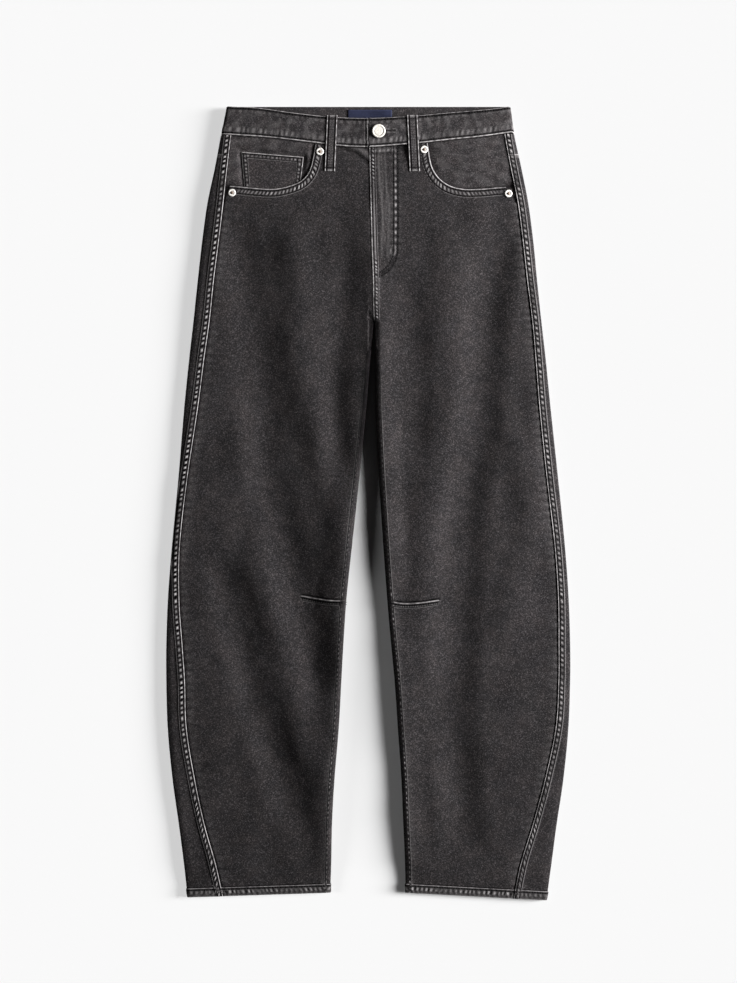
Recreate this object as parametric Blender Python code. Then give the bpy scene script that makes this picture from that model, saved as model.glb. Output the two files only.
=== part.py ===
"""Barrel leg trousers in washed-black denim, laid flat with the front up.

X runs across the garment with the wearer's left at +X, Y runs from the hems to the waist, Z is up.
The origin is on the surface that the trousers lie on, at the middle of their box.

Every cloth piece is cut as the maker cuts it: an outline on a flat pattern, filled with triangles, then
laid on the garment's form and given its thickness. Across a leg the form is a flattened tube, and the
coordinate "out" is the distance from the garment's middle towards that leg's own side.
All sizes below are millimetres, and the meshes are in metres.
"""
import math
from collections import namedtuple

import bmesh
import bpy
from mathutils import Vector
from mathutils.geometry import delaunay_2d_cdt

MM = 0.001

# Cloth and seams
DENIM = 1.2
FACING = 1.0
COIN_CLOTH = 0.9
LOOP_CLOTH = 2.0
BACK_LOOP_CLOTH = 1.5
BAND_CLOTH = 2.6
LABEL_CLOTH = 0.6
SEAM_GAP = 0.3
LAYER_GAP = 0.25
FOLD_DEPTH = 4.0
CROTCH_FOLD_DEPTH = 1.6
CROTCH_FADE = 45.0
FOLD_STEPS = 4

# Raised seams, as the outer face stands above plain cloth
FELL_WIDTH = 10.0
FELL_RISE = 1.2
HEM_DEPTH = 11.0
HEM_RISE = 0.9
POCKET_BAND = 10.0
POCKET_BAND_RISE = 0.8
FLY_RISE = 0.8
DART_HALF_WIDTH = 2.6
DART_RISE = 0.8
STEP_WIDTH = 1.2

# Heights along the garment
CROTCH_Y = 227.0
CROTCH_X = 7.5
WAIST_TOP = 496.0
BACK_BAND_BOTTOM = 460.0
HEM_INNER_Y = -486.8
YOKE_CENTRE_Y = 382.0
YOKE_SIDE_Y = 437.5
STRIP_YOKE_Y = 434.5

# Heights where a panel's outline or rows have a corner
CENTRE_FRONT_TOP = 446.0
CENTRE_FRONT_ROWS = (430.0, 400.0, 370.0, 340.0, 310.0, 280.0, 252.0)
CENTRE_BACK_ROWS = (260.0, 300.0, 340.0)
STRIP_ROW_Y = 416.0
YOKE_ROW_Y = 447.0
PANEL_ROWS_END = 460.0
BELOW_HEM_Y = -520.0
FACING_ROWS = (385.0, 400.0, 420.0, 440.0)
FACING_TOP_Y = 458.0
FACING_EDGE_GAP = 0.5
FACING_LOW_X = 120.0
FACING_CORNER_IN = 12.0
COIN_ROWS = (400.0, 420.0)

# How far the raised patches run on past the pieces that they are cut by
PATCH_RUN_ON = 12.0
HEM_RUN_ON = 30.0
FELL_RUN_ON = 40.0
STRIP_HEM_RUN_ON = 10.0
STRIP_HEM_FOLD_SHARE = 0.8
POCKET_PATCH_IN = 20.0
POCKET_PATCH_LOW_Y = 340.0

# Triangle sizes on the patterns
ROW_STEP = 40.0
TOP_ROW_STEP = 20.0
TOP_ROWS_FROM = 380.0
FRONT_COLUMN_STEP = 19.0
BACK_COLUMN_STEP = 34.0
GUIDE_STEP = 16.0
ROWS_DOWN = 30
ROWS_UP = 7
ROW_MARGIN = 6.0
FOLD_SHARES = (1.0, 0.75, 0.5, 0.25, 0.0)
POCKET_GUIDE_STEP = 40.0

SIDES = ("right", "left")
TOWARDS = {"right": -1.0, "left": 1.0}
HEM_OUTER_Y = {"right": -492.6, "left": -496.3}
POCKET_END_Y = {"right": 397.0, "left": 396.2}

# The legs' width, each distance measured from X = 0 towards its own side
Width = namedtuple("Width", "y right_outer right_seam right_inner left_inner left_seam left_outer")
WIDTHS = [
    Width(-495, 226.0, 181.0, 48.0, 46.5, 180.5, 223.0),
    Width(-450, 231.0, 191.3, 46.5, 45.6, 189.7, 229.0),
    Width(-400, 237.5, 205.2, 45.5, 43.3, 205.0, 235.7),
    Width(-345, 245.2, 217.0, 42.4, 41.0, 219.8, 243.9),
    Width(-280, 251.3, 227.4, 37.0, 36.5, 233.3, 250.2),
    Width(-222, 253.0, 229.4, 33.8, 32.5, 236.8, 252.3),
    Width(-180, 253.0, 232.3, 31.5, 28.5, 237.0, 252.4),
    Width(-120, 251.0, 236.4, 27.5, 23.3, 236.4, 250.5),
    Width(-55, 246.0, 235.8, 20.7, 18.5, 232.2, 245.9),
    Width(30, 238.0, 226.5, 11.5, 13.0, 222.3, 237.4),
    Width(120, 230.5, 213.0, 2.5, 8.7, 213.0, 227.8),
    Width(180, 224.5, 205.3, -2.5, 8.0, 208.3, 221.8),
    Width(228, 219.0, 198.5, -7.3, 7.7, 204.0, 216.3),
    Width(280, 213.5, 193.0, -7.3, 7.7, 197.5, 210.8),
    Width(325, 208.5, 187.3, -7.3, 7.7, 192.5, 206.5),
    Width(375, 201.5, 181.2, -7.3, 7.7, 186.0, 199.8),
    Width(420, 192.0, 176.3, -7.3, 7.7, 177.0, 191.0),
    Width(460, 184.5, 171.5, -7.3, 7.7, 169.5, 182.3),
    Width(496, 177.4, 166.0, -7.3, 7.7, 164.0, 177.5),
]

# The cloth's outer faces: the top above and the underside below, at each height along the garment
Level = namedtuple("Level", "y top underside")
LEVELS = [
    Level(-500, 5.0, 0.0),
    Level(180, 5.3, 0.0),
    Level(255, 6.2, 0.0),
    Level(330, 6.2, 0.0),
    Level(385, 7.3, 1.9),
    Level(450, 8.1, 1.9),
    Level(500, 8.1, 1.9),
]
CROTCH_DIP = 2.2
CROTCH_DIP_REACH = 55.0

# The waistband's faces
BAND_BACK_LEVEL = 1.8
BAND_FRONT_LEVEL = 8.2
BAND_LAP_LEVEL = 11.1
LAP_END_X = -2.6
UNDERLAP_END_X = 36.0
LAP_RAMP_FROM = 40.0
LAP_RAMP_TO = 72.0

# Seam and edge lines on the front, as X and Y
BAND_TOP = [(-177.4, 496.0), (-140, 494.4), (-100, 488.9), (-53, 483.6), (-4, 481.2), (47, 483.4),
            (104, 488.6), (140, 491.6), (177.5, 495.6)]
BAND_BOTTOM = [(-184.5, 461.2), (-124, 457), (-68, 450.6), (-38, 446.8), (-3, 445), (47, 448.4),
               (104, 454.5), (139, 458), (182.5, 464.0)]
FLY_EDGE = [(6.9, 217), (5.3, 250), (5.3, 273), (3.6, 323), (2.1, 377), (0.4, 446)]
FLY_SEAM = [(33.8, 449), (33.8, 317), (31.5, 305), (24.0, 293), (14.0, 286), (5.0, 283)]
FLY_PATCH_END = [(-20.0, 283.0), (-20.0, 460.0), (33.8, 460.0)]
POCKET_EDGE = {
    "right": [(-177.6, 397.0), (-165.5, 396.4), (-140, 394.0), (-117.6, 393.1), (-98.5, 397.1),
              (-84.1, 403.5), (-74.6, 414.8), (-69.8, 430.6), (-66.4, 450.4)],
    "left": [(181.2, 396.2), (160.6, 394.9), (139.8, 393.1), (118.8, 393.1), (101.1, 397.5),
             (87.1, 408.0), (78.4, 423.8), (74.2, 451.2)],
}
KNEE_DARTS = {
    "right": [(-83.8, -116.6), (-65.6, -119.8), (-48.9, -122.0), (-34.4, -122.6)],
    "left": [(31.0, -123.8), (45.0, -126.0), (63.1, -125.1), (86.9, -122.0)],
}

# Long soft folds down the front: valleys with a line, how deep, and how wide on each side
Fold = namedtuple("Fold", "line depth width")
FOLDS = [
    Fold([(-158, 330), (-143, 254), (-125, 154), (-110, 54), (-98, -46), (-82, -146), (-68, -240)], 1.7, 34),
    Fold([(-178, -90), (-163, -146), (-148, -196), (-132, -246), (-114, -296), (-100, -346)], 1.3, 28),
    Fold([(148, 317), (148, 204), (138, 104), (127, 4), (116, -96), (111, -196), (114, -296)], 1.6, 32),
]
FOLD_END_FADE = 60.0

# Back pockets, as a distance from the middle and Y, and how far the panel gives way round them
BACK_POCKET = [(40, 377), (166, 411), (170, 300), (110, 252), (46, 272)]
BACK_POCKET_ROOM = 2.0
BACK_POCKET_SLOPE = 10.0
BACK_POCKET_RISE = 1.5

# What is sewn or riveted on
LOOP_WIDTH = 14.0
FRONT_LOOPS = {"right": (-45.5, -48.6), "left": (54.3, 57.6)}
FRONT_LOOP_TOP_Y = 485.0
FRONT_LOOP_BOTTOM_Y = 414.8
BACK_LOOPS = {"right": -100.0, "left": 100.0, "centre": 1.0}
BACK_LOOP_TOP_Y = 495.0
BACK_LOOP_BOTTOM_Y = 428.0
COIN_OUTLINE = [(-159.1, 439.4), (-81.0, 433.0), (-86.4, 388.0), (-154.5, 384.0)]
FACING_TOP_IN = {"right": 59.0, "left": 67.0}
FACING_LOW_Y = 374.0
LABEL_LEFT_X = -25.3
LABEL_RIGHT_X = 29.4
LABEL_BOTTOM_Y = 466.0
LABEL_TOP_Y = 492.3
BUTTON_CENTRE = (12.6, 464.6)
BUTTON_RADIUS = 8.5
BUTTON_HEIGHT = 3.2
RIVET_RADIUS = 4.75
RIVET_HEIGHT = 1.9
RIVETS = {
    "rivet_right_top": (-60.6, 439.5),
    "rivet_right_side": (-170.5, 388.0),
    "rivet_left_top": (69.5, 442.0),
    "rivet_left_side": (174.8, 387.0),
}
ROUND_STEPS = 24


def curve(pairs):
    """A smooth curve through pairs of position and value, with the slope of its neighbours at each pair."""
    pairs = sorted(pairs)
    slopes = []
    for index in range(len(pairs)):
        before = pairs[max(index - 1, 0)]
        after = pairs[min(index + 1, len(pairs) - 1)]
        slopes.append((after[1] - before[1]) / (after[0] - before[0]))

    def value(position):
        position = min(max(position, pairs[0][0]), pairs[-1][0])
        index = 0
        while index < len(pairs) - 2 and position > pairs[index + 1][0]:
            index += 1
        (start, low), (end, high) = pairs[index], pairs[index + 1]
        span = end - start
        part = (position - start) / span
        rise = part * part * (3 - 2 * part)
        leave = part * (1 - part) * (1 - part) * span * slopes[index]
        arrive = part * part * (part - 1) * span * slopes[index + 1]
        return low + (high - low) * rise + leave + arrive

    return value


def straight(pairs):
    """Straight lines between pairs of position and value."""
    pairs = sorted(pairs)

    def value(position):
        position = min(max(position, pairs[0][0]), pairs[-1][0])
        for (start, low), (end, high) in zip(pairs, pairs[1:]):
            if position <= end:
                return low + (high - low) * (position - start) / (end - start)
        return pairs[-1][1]

    return value


def swap(line):
    """The same line read the other way round: its X for a given Y."""
    return [(y, x) for x, y in line]


outer_edge = {side: curve([(row.y, getattr(row, side + "_outer")) for row in WIDTHS]) for side in SIDES}
outseam = {side: curve([(row.y, getattr(row, side + "_seam")) for row in WIDTHS]) for side in SIDES}
inner_edge = {side: curve([(row.y, getattr(row, side + "_inner")) for row in WIDTHS]) for side in SIDES}
top_level = straight([(row.y, row.top) for row in LEVELS])
underside_level = straight([(row.y, row.underside) for row in LEVELS])
band_top = curve(BAND_TOP)
band_bottom = curve(BAND_BOTTOM)
centre_front = curve(swap(FLY_EDGE))
centre_back = straight([(CROTCH_Y, CROTCH_X), (BACK_BAND_BOTTOM, 0.0)])
yoke_seam = straight([(0.0, YOKE_CENTRE_Y), (190.0, YOKE_SIDE_Y)])
band_front_level = straight([(-200.0, BAND_FRONT_LEVEL), (LAP_END_X - 0.01, BAND_FRONT_LEVEL),
                             (LAP_END_X, BAND_LAP_LEVEL), (LAP_RAMP_FROM, BAND_LAP_LEVEL),
                             (LAP_RAMP_TO, BAND_FRONT_LEVEL), (200.0, BAND_FRONT_LEVEL)])


def ease(value):
    value = min(max(value, 0.0), 1.0)
    return value * value * (3 - 2 * value)


def distance_to_line(point, line):
    """How far a flat point is from a line of straight pieces."""
    nearest = math.inf
    for start, end in zip(line, line[1:]):
        run = (end[0] - start[0], end[1] - start[1])
        reach = (point[0] - start[0], point[1] - start[1])
        part = (run[0] * reach[0] + run[1] * reach[1]) / (run[0] ** 2 + run[1] ** 2)
        part = min(max(part, 0.0), 1.0)
        nearest = min(nearest, math.hypot(reach[0] - run[0] * part, reach[1] - run[1] * part))
    return nearest


def inside(point, outline):
    """Whether a flat point lies inside a closed outline."""
    crossings = 0
    for start, end in zip(outline, outline[1:] + outline[:1]):
        if (start[1] > point[1]) != (end[1] > point[1]):
            part = (point[1] - start[1]) / (end[1] - start[1])
            if start[0] + part * (end[0] - start[0]) > point[0]:
                crossings += 1
    return crossings % 2 == 1


def offset(outline, amount):
    """A closed outline moved inwards by an amount, or outwards where it is negative."""
    doubled_area = sum(a[0] * b[1] - b[0] * a[1] for a, b in zip(outline, outline[1:] + outline[:1]))
    turn = 1.0 if doubled_area > 0 else -1.0
    moved = []
    for before, here, after in zip(outline[-1:] + outline[:-1], outline, outline[1:] + outline[:1]):
        arrive = Vector((here[0] - before[0], here[1] - before[1])).normalized()
        leave = Vector((after[0] - here[0], after[1] - here[1])).normalized()
        normal = Vector((-(arrive.y + leave.y), arrive.x + leave.x)) * turn
        normal.normalize()
        corner = max(normal.dot(Vector((-arrive.y, arrive.x)) * turn), 0.35)
        moved.append((here[0] + normal.x * amount / corner, here[1] + normal.y * amount / corner))
    return moved


def along(line, step=GUIDE_STEP):
    """A line with points added so that none of its pieces is longer than the step."""
    points = [line[0]]
    for start, end in zip(line, line[1:]):
        pieces = max(1, math.ceil(math.dist(start, end) / step))
        for index in range(1, pieces + 1):
            part = index / pieces
            points.append((start[0] + (end[0] - start[0]) * part, start[1] + (end[1] - start[1]) * part))
    return points


def rows_between(low, high):
    """The pattern's rows between two heights, closer together near the waist."""
    rows = [TOP_ROWS_FROM - ROW_STEP * index for index in range(ROWS_DOWN)]
    rows += [TOP_ROWS_FROM + TOP_ROW_STEP * index for index in range(1, ROWS_UP + 1)]
    return [low] + sorted(row for row in rows if low + ROW_MARGIN < row < high - ROW_MARGIN) + [high]


# The garment's form
def fold_dip(x, y):
    """How far the long soft folds sink the top at a point."""
    dip = 0.0
    for fold in FOLDS:
        reach = distance_to_line((x, y), fold.line) / fold.width
        ends = min(abs(y - fold.line[0][1]), abs(y - fold.line[-1][1])) / FOLD_END_FADE
        within = fold.line[-1][1] < y < fold.line[0][1]
        if within and reach < 1.0:
            dip += fold.depth * (1.0 - ease(reach)) * ease(ends)
    return dip


def top_at(x, y):
    crotch = math.hypot(x - CROTCH_X, y - CROTCH_Y + 10.0) / CROTCH_DIP_REACH
    return top_level(y) - CROTCH_DIP * (1.0 - ease(crotch)) - fold_dip(x, y)


def pocket_room(out, y):
    """How far the back panel gives way above its pocket."""
    point = (out, y)
    if inside(point, BACK_POCKET):
        return BACK_POCKET_RISE
    beyond = distance_to_line(point, BACK_POCKET + BACK_POCKET[:1]) - BACK_POCKET_ROOM
    return BACK_POCKET_RISE * min(max(1.0 - beyond / BACK_POCKET_SLOPE, 0.0), 1.0)


def underside_at(out, y):
    return max(underside_level(y), pocket_room(out, y))


def inner_fold_depth(y):
    return CROTCH_FOLD_DEPTH + (FOLD_DEPTH - CROTCH_FOLD_DEPTH) * ease((CROTCH_Y - y) / CROTCH_FADE)


class Edge:
    """One rounded side of a leg: where its fold begins, its half height and the cloth's length round it."""

    def __init__(self, side, which, y):
        self.sign = 1.0 if which == "outer" else -1.0
        self.depth = FOLD_DEPTH if which == "outer" else inner_fold_depth(y)
        extreme = outer_edge[side](y) if which == "outer" else inner_edge[side](y)
        self.start = extreme - self.sign * self.depth
        low = underside_at(self.start, y)
        high = top_at(self.start * TOWARDS[side], y)
        self.middle = (low + high) / 2
        self.half = (high - low) / 2
        self.length = math.pi * math.sqrt((self.depth ** 2 + self.half ** 2) / 2)

    def point(self, run, deep):
        """Out and height after a run round the fold from the underside, so deep below the outer face."""
        angle = math.pi * run / self.length
        out = self.start + self.sign * (self.depth - deep) * math.sin(angle)
        return out, self.middle - (self.half - deep) * math.cos(angle)


def top_place(side, drop=0.0):
    """Lays a pattern on the top of one side. The drop is how far its outer face lies below the top."""
    def place(out, y, deep):
        if y < CROTCH_Y:
            edge = Edge(side, "inner", y)
            if out < edge.start:
                run = edge.length - (edge.start - out)
                out, height = edge.point(run, deep)
                return out * TOWARDS[side], y, height
        x = out * TOWARDS[side]
        return x, y, top_at(x, y) - drop - deep
    return place


def back_place(side):
    """Lays a back pattern on the underside, round both sides of the leg and onto the top."""
    def place(out, y, deep):
        for which in ("outer", "inner"):
            if which == "inner" and y >= CROTCH_Y:
                continue
            edge = Edge(side, which, y)
            run = (out - edge.start) * edge.sign
            if run <= 0:
                continue
            if run < edge.length:
                out, height = edge.point(run, deep)
                return out * TOWARDS[side], y, height
            x = (edge.start - edge.sign * (run - edge.length)) * TOWARDS[side]
            return x, y, top_at(x, y) - deep
        return out * TOWARDS[side], y, underside_at(out, y) + deep
    return place


def outseam_on_back(side, y):
    """The outseam's place on the back pattern, past the fold."""
    edge = Edge(side, "outer", y)
    return edge.start + edge.length + (edge.start - outseam[side](y))


def inseam_run(side, y):
    """How far round the inner fold the inseam lies: on the top, and at the fold's middle at the crotch."""
    edge = Edge(side, "inner", y)
    return edge.length / 2 + (edge.length / 2 + 1.0) * ease((CROTCH_Y - y) / CROTCH_FADE)


def inseam_on_front(side, y):
    edge = Edge(side, "inner", y)
    return edge.start + inseam_run(side, y) - edge.length


def inseam_on_back(side, y):
    return Edge(side, "inner", y).start - inseam_run(side, y)


def hem_y(side, out):
    low = inner_edge[side](HEM_INNER_Y)
    high = outer_edge[side](HEM_INNER_Y)
    part = min(max((out - low) / (high - low), 0.0), 1.0)
    return HEM_INNER_Y + (HEM_OUTER_Y[side] - HEM_INNER_Y) * part


def hem_corner_y(side):
    """The height where the outseam meets the hem."""
    return hem_y(side, outseam[side](HEM_INNER_Y))


# Turning patterns into solids
def finish(name, mesh_builder, material):
    """Stores a bmesh, in metres, as a named object with its material."""
    bmesh.ops.triangulate(mesh_builder, faces=mesh_builder.faces)
    bmesh.ops.recalc_face_normals(mesh_builder, faces=mesh_builder.faces)
    mesh = bpy.data.meshes.new(name)
    mesh_builder.to_mesh(mesh)
    mesh_builder.free()
    mesh.materials.append(material)
    part = bpy.data.objects.new(name, mesh)
    bpy.context.collection.objects.link(part)
    return part


def spread(outline, guides, rows, column_step):
    """The points inside an outline, and the guide edges between them."""
    points = []
    edges = []
    margin = 0.45
    rim = outline + outline[:1]
    for guide in guides:
        before = None
        for point in guide:
            fits = inside(point, outline) and distance_to_line(point, rim) > margin
            fits = fits and all(math.dist(point, other) > margin for other in points)
            if fits:
                points.append(point)
                if before is not None:
                    edges.append((before, len(points) - 1))
                before = len(points) - 1
            else:
                before = None
    clear = column_step * 0.4
    guide_points = list(points)
    outs = [point[0] for point in outline]
    columns = math.ceil((max(outs) - min(outs)) / column_step)
    for y in rows:
        for index in range(1, columns):
            point = (min(outs) + (max(outs) - min(outs)) * index / columns, y)
            fits = inside(point, outline) and distance_to_line(point, rim) > clear
            if fits and all(math.dist(point, other) > clear for other in guide_points):
                points.append(point)
    return points, edges


def cut(name, outline, place, thickness, material, guides=(), rows=(), column_step=1000.0, raised=()):
    """Cuts a piece from its flat outline, lays it on the form and gives it its thickness.

    Guides are lines that the triangles follow. Raised is a list of flat outlines and rises: inside each,
    the outer face stands higher by its rise.
    """
    outline = offset(outline, SEAM_GAP / 2)
    points, edges = spread(outline, guides, rows, column_step)
    count = len(outline)
    rim_edges = [(index, (index + 1) % count) for index in range(count)]
    guide_edges = [(start + count, end + count) for start, end in edges]
    coordinates = [Vector(point) for point in outline + points]
    flat = delaunay_2d_cdt(coordinates, rim_edges + guide_edges, [list(range(count))], 1, 1e-5)

    builder = bmesh.new()
    corners = [builder.verts.new((point.x, point.y, 0.0)) for point in flat[0]]
    for face in flat[2]:
        builder.faces.new([corners[index] for index in face])
    loose = [corner for corner in corners if not corner.link_faces]
    bmesh.ops.delete(builder, geom=loose, context="VERTS")
    outer_skin = list(builder.verts)
    extruded = bmesh.ops.extrude_face_region(builder, geom=list(builder.faces))
    inner_skin = [item for item in extruded["geom"] if isinstance(item, bmesh.types.BMVert)]
    for corner in outer_skin:
        out, y = corner.co.x, corner.co.y
        rise = sum(height for patch, height in raised if inside((out, y), patch))
        corner.co = Vector(place(out, y, -rise)) * MM
    for corner in inner_skin:
        corner.co = Vector(place(corner.co.x, corner.co.y, thickness)) * MM
    return finish(name, builder, material)


def step_guides(line, sideways):
    """Two lines either side of a raised seam's edge, moved sideways along the pattern."""
    half = STEP_WIDTH / 2
    direction = Vector(sideways).normalized()
    shifts = (direction * half, direction * -half)
    return [[(x + shift.x, y + shift.y) for x, y in line] for shift in shifts]


def ring_guides(outline, amount):
    """Two closed lines either side of an outline moved outwards by an amount."""
    lines = []
    for shift in (amount - STEP_WIDTH / 2, amount + STEP_WIDTH / 2):
        ring = along(offset(outline, -shift))
        lines.append(ring + ring[:1])
    return lines


# The pieces
def front_outline(side):
    """Hem, outseam, pocket opening, waistband seam, centre front, and inseam."""
    top = POCKET_END_Y[side]
    seam_rows = rows_between(HEM_INNER_Y, top)
    corner_y = hem_corner_y(side)
    low_in = inseam_on_front(side, HEM_INNER_Y)
    hem = along([(low_in, HEM_INNER_Y), (outseam[side](corner_y), corner_y)], FRONT_COLUMN_STEP)
    seam = [(outseam[side](y), y) for y in seam_rows[1:-1]]
    pocket = [(x * TOWARDS[side], y) for x, y in POCKET_EDGE[side]]
    band = front_band_seam(side, pocket[-1][0], centre_front(CENTRE_FRONT_TOP) * TOWARDS[side])
    centre = [(centre_front(y) * TOWARDS[side], y) for y in CENTRE_FRONT_ROWS]
    crotch = [(CROTCH_X * TOWARDS[side], CROTCH_Y)]
    inseam_rows = rows_between(HEM_INNER_Y, CROTCH_Y)[1:-1][::-1]
    inseam = [(inseam_on_front(side, y), y) for y in inseam_rows]
    return hem + seam + pocket[:-1] + band + centre + crotch + inseam


def front_band_seam(side, start, end):
    """The waistband's lower seam between two distances from the middle, just below the band."""
    pieces = max(2, math.ceil(abs(end - start) / FRONT_COLUMN_STEP))
    outs = [start + (end - start) * index / pieces for index in range(pieces + 1)]
    return [(out, band_bottom(out * TOWARDS[side]) - SEAM_GAP) for out in outs]


def pocket_band(side):
    """The doubled edge of the front pocket's opening, as a closed outline below the edge."""
    edge = [(x * TOWARDS[side], y) for x, y in POCKET_EDGE[side]]
    before = (edge[0][0] + PATCH_RUN_ON, edge[0][1])
    after = (edge[-1][0], edge[-1][1] + PATCH_RUN_ON)
    edge = [before] + edge + [after]
    closing = [(POCKET_PATCH_IN, after[1]), (POCKET_PATCH_IN, POCKET_PATCH_LOW_Y),
               (before[0], POCKET_PATCH_LOW_Y)]
    lowered = offset(edge + closing, POCKET_BAND)[:len(edge)]
    return lowered, edge + lowered[::-1]


def build_front(side, material):
    rows = rows_between(HEM_INNER_Y, PANEL_ROWS_END)[1:-1]
    lower_edge, band_patch = pocket_band(side)
    guides = []
    raised = [(band_patch, POCKET_BAND_RISE)]
    guides += step_guides(along(lower_edge), (1.0, 1.0))
    if side == "left":
        raised.append((FLY_SEAM + FLY_PATCH_END, FLY_RISE))
        guides += step_guides(along(FLY_SEAM), (1.0, -0.7))
    hem_start = inseam_on_front(side, HEM_INNER_Y) - HEM_RUN_ON
    hem_end = outseam[side](HEM_INNER_Y) + HEM_RUN_ON
    hem_line = [(out, hem_y(side, out) + HEM_DEPTH) for out in (hem_start, hem_end)]
    raised.append((hem_patch(hem_line), HEM_RISE))
    guides += step_guides(along(hem_line, FRONT_COLUMN_STEP), (0.0, 1.0))
    dart = [(x * TOWARDS[side], y) for x, y in KNEE_DARTS[side]]
    ridge = [(x, y + DART_HALF_WIDTH) for x, y in dart] + [(x, y - DART_HALF_WIDTH) for x, y in dart[::-1]]
    raised.append((ridge, DART_RISE))
    guides += ring_guides(ridge, 0.0)
    cut("front_" + side, front_outline(side), top_place(side), DENIM, material, guides, rows,
        FRONT_COLUMN_STEP, raised)


def hem_patch(line):
    """The outline of a hem band, below its upper stitch line."""
    return [line[0], line[1], (line[1][0], BELOW_HEM_Y), (line[0][0], BELOW_HEM_Y)]


def fold_columns(side, rows):
    """Lines down a back pattern that follow the rounded sides and the raised outseam."""
    shares = [index / FOLD_STEPS for index in range(FOLD_STEPS + 1)]
    lines = []
    for which in ("outer", "inner"):
        usable = [y for y in rows if which == "outer" or y < CROTCH_Y - 4.0]
        for share in shares:
            line = []
            for y in usable:
                edge = Edge(side, which, y)
                line.append((edge.start + edge.sign * edge.length * share, y))
            lines.append(line)
    return lines


def fell_guides(side, rows):
    """Lines either side of the raised outseam's outer stitch line, and the outline of what is raised."""
    line = [(outseam_on_back(side, y) - FELL_WIDTH, y) for y in rows]
    patch = line + [(out + FELL_RUN_ON, y) for out, y in line[::-1]]
    return step_guides(line, (1.0, 0.0)), patch


def strip_hem_patch(side):
    """The hem band where the back panel shows on the top: its upper line, and its outline."""
    edge = Edge(side, "outer", HEM_OUTER_Y[side])
    fold_top = edge.start + edge.length * STRIP_HEM_FOLD_SHARE
    seam = outseam_on_back(side, hem_corner_y(side)) + STRIP_HEM_RUN_ON
    line = [(fold_top, HEM_OUTER_Y[side] + HEM_DEPTH), (seam, hem_corner_y(side) + HEM_DEPTH)]
    return line, hem_patch(line)


def back_hem(side):
    """The hem of a back pattern, from the outseam round the leg to the inseam."""
    corner_y = hem_corner_y(side)
    outer = Edge(side, "outer", corner_y)
    inner = Edge(side, "inner", HEM_INNER_Y)
    stops = [outer.start + outer.length * share for share in FOLD_SHARES]
    flat = along([(outer.start, 0.0), (inner.start, 0.0)], BACK_COLUMN_STEP)
    stops += [out for out, _ in flat[1:]]
    stops += [inner.start - inner.length * share for share in FOLD_SHARES[-2::-1]]
    stops.append(inseam_on_back(side, HEM_INNER_Y))
    points = [(outseam_on_back(side, corner_y), corner_y)]
    for out in stops:
        on_leg = out
        if out > outer.start + outer.length / 2:
            on_leg = 2 * outer.start + outer.length - out
        points.append((out, hem_y(side, on_leg)))
    return points


def yoke_line(side, reverse=False):
    """The yoke seam on a back pattern, from the outseam round the side to the centre back."""
    edge = Edge(side, "outer", YOKE_SIDE_Y)
    stops = [edge.start + edge.length * share for share in FOLD_SHARES[:-1]]
    centre = centre_back(YOKE_CENTRE_Y) * TOWARDS[side]
    line = [(outseam_on_back(side, STRIP_YOKE_Y), STRIP_YOKE_Y)]
    line += [(out, STRIP_YOKE_Y + (YOKE_SIDE_Y - STRIP_YOKE_Y) * (index + 1) / len(FOLD_SHARES))
             for index, out in enumerate(stops)]
    flat = along([(edge.start, 0.0), (centre, 0.0)], BACK_COLUMN_STEP)
    line += [(out, yoke_seam(abs(out))) for out, _ in flat]
    return line[::-1] if reverse else line


def back_outline(side):
    """Outseam down, hem, inseam up, centre back and yoke seam."""
    rows = rows_between(HEM_INNER_Y, POCKET_END_Y[side])[1:]
    rows += [STRIP_ROW_Y, STRIP_YOKE_Y]
    down = [(outseam_on_back(side, y), y) for y in rows[::-1]]
    inseam_rows = rows_between(HEM_INNER_Y, CROTCH_Y)[1:-1]
    up = [(inseam_on_back(side, y), y) for y in inseam_rows]
    crotch = [(CROTCH_X * TOWARDS[side], CROTCH_Y)]
    centre = [(centre_back(y) * TOWARDS[side], y) for y in CENTRE_BACK_ROWS]
    return down + back_hem(side) + up + crotch + centre + yoke_line(side, reverse=True)[:-1]


def build_back(side, material):
    rows = rows_between(HEM_INNER_Y, STRIP_YOKE_Y)
    inner_rows = rows[1:-1] + [STRIP_ROW_Y]
    fell_lines, fell_patch = fell_guides(side, rows)
    guides = fold_columns(side, inner_rows) + fell_lines
    for amount in (BACK_POCKET_ROOM, BACK_POCKET_ROOM + BACK_POCKET_SLOPE):
        ring = offset(BACK_POCKET, -amount)
        guides.append(along(ring + ring[:1], POCKET_GUIDE_STEP))
    hem_line, strip_hem = strip_hem_patch(side)
    guides += step_guides(along(hem_line), (0.0, 1.0))
    raised = [(fell_patch, FELL_RISE), (strip_hem, HEM_RISE)]
    cut("back_" + side, back_outline(side), back_place(side), DENIM, material, guides, inner_rows,
        BACK_COLUMN_STEP, raised)


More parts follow.
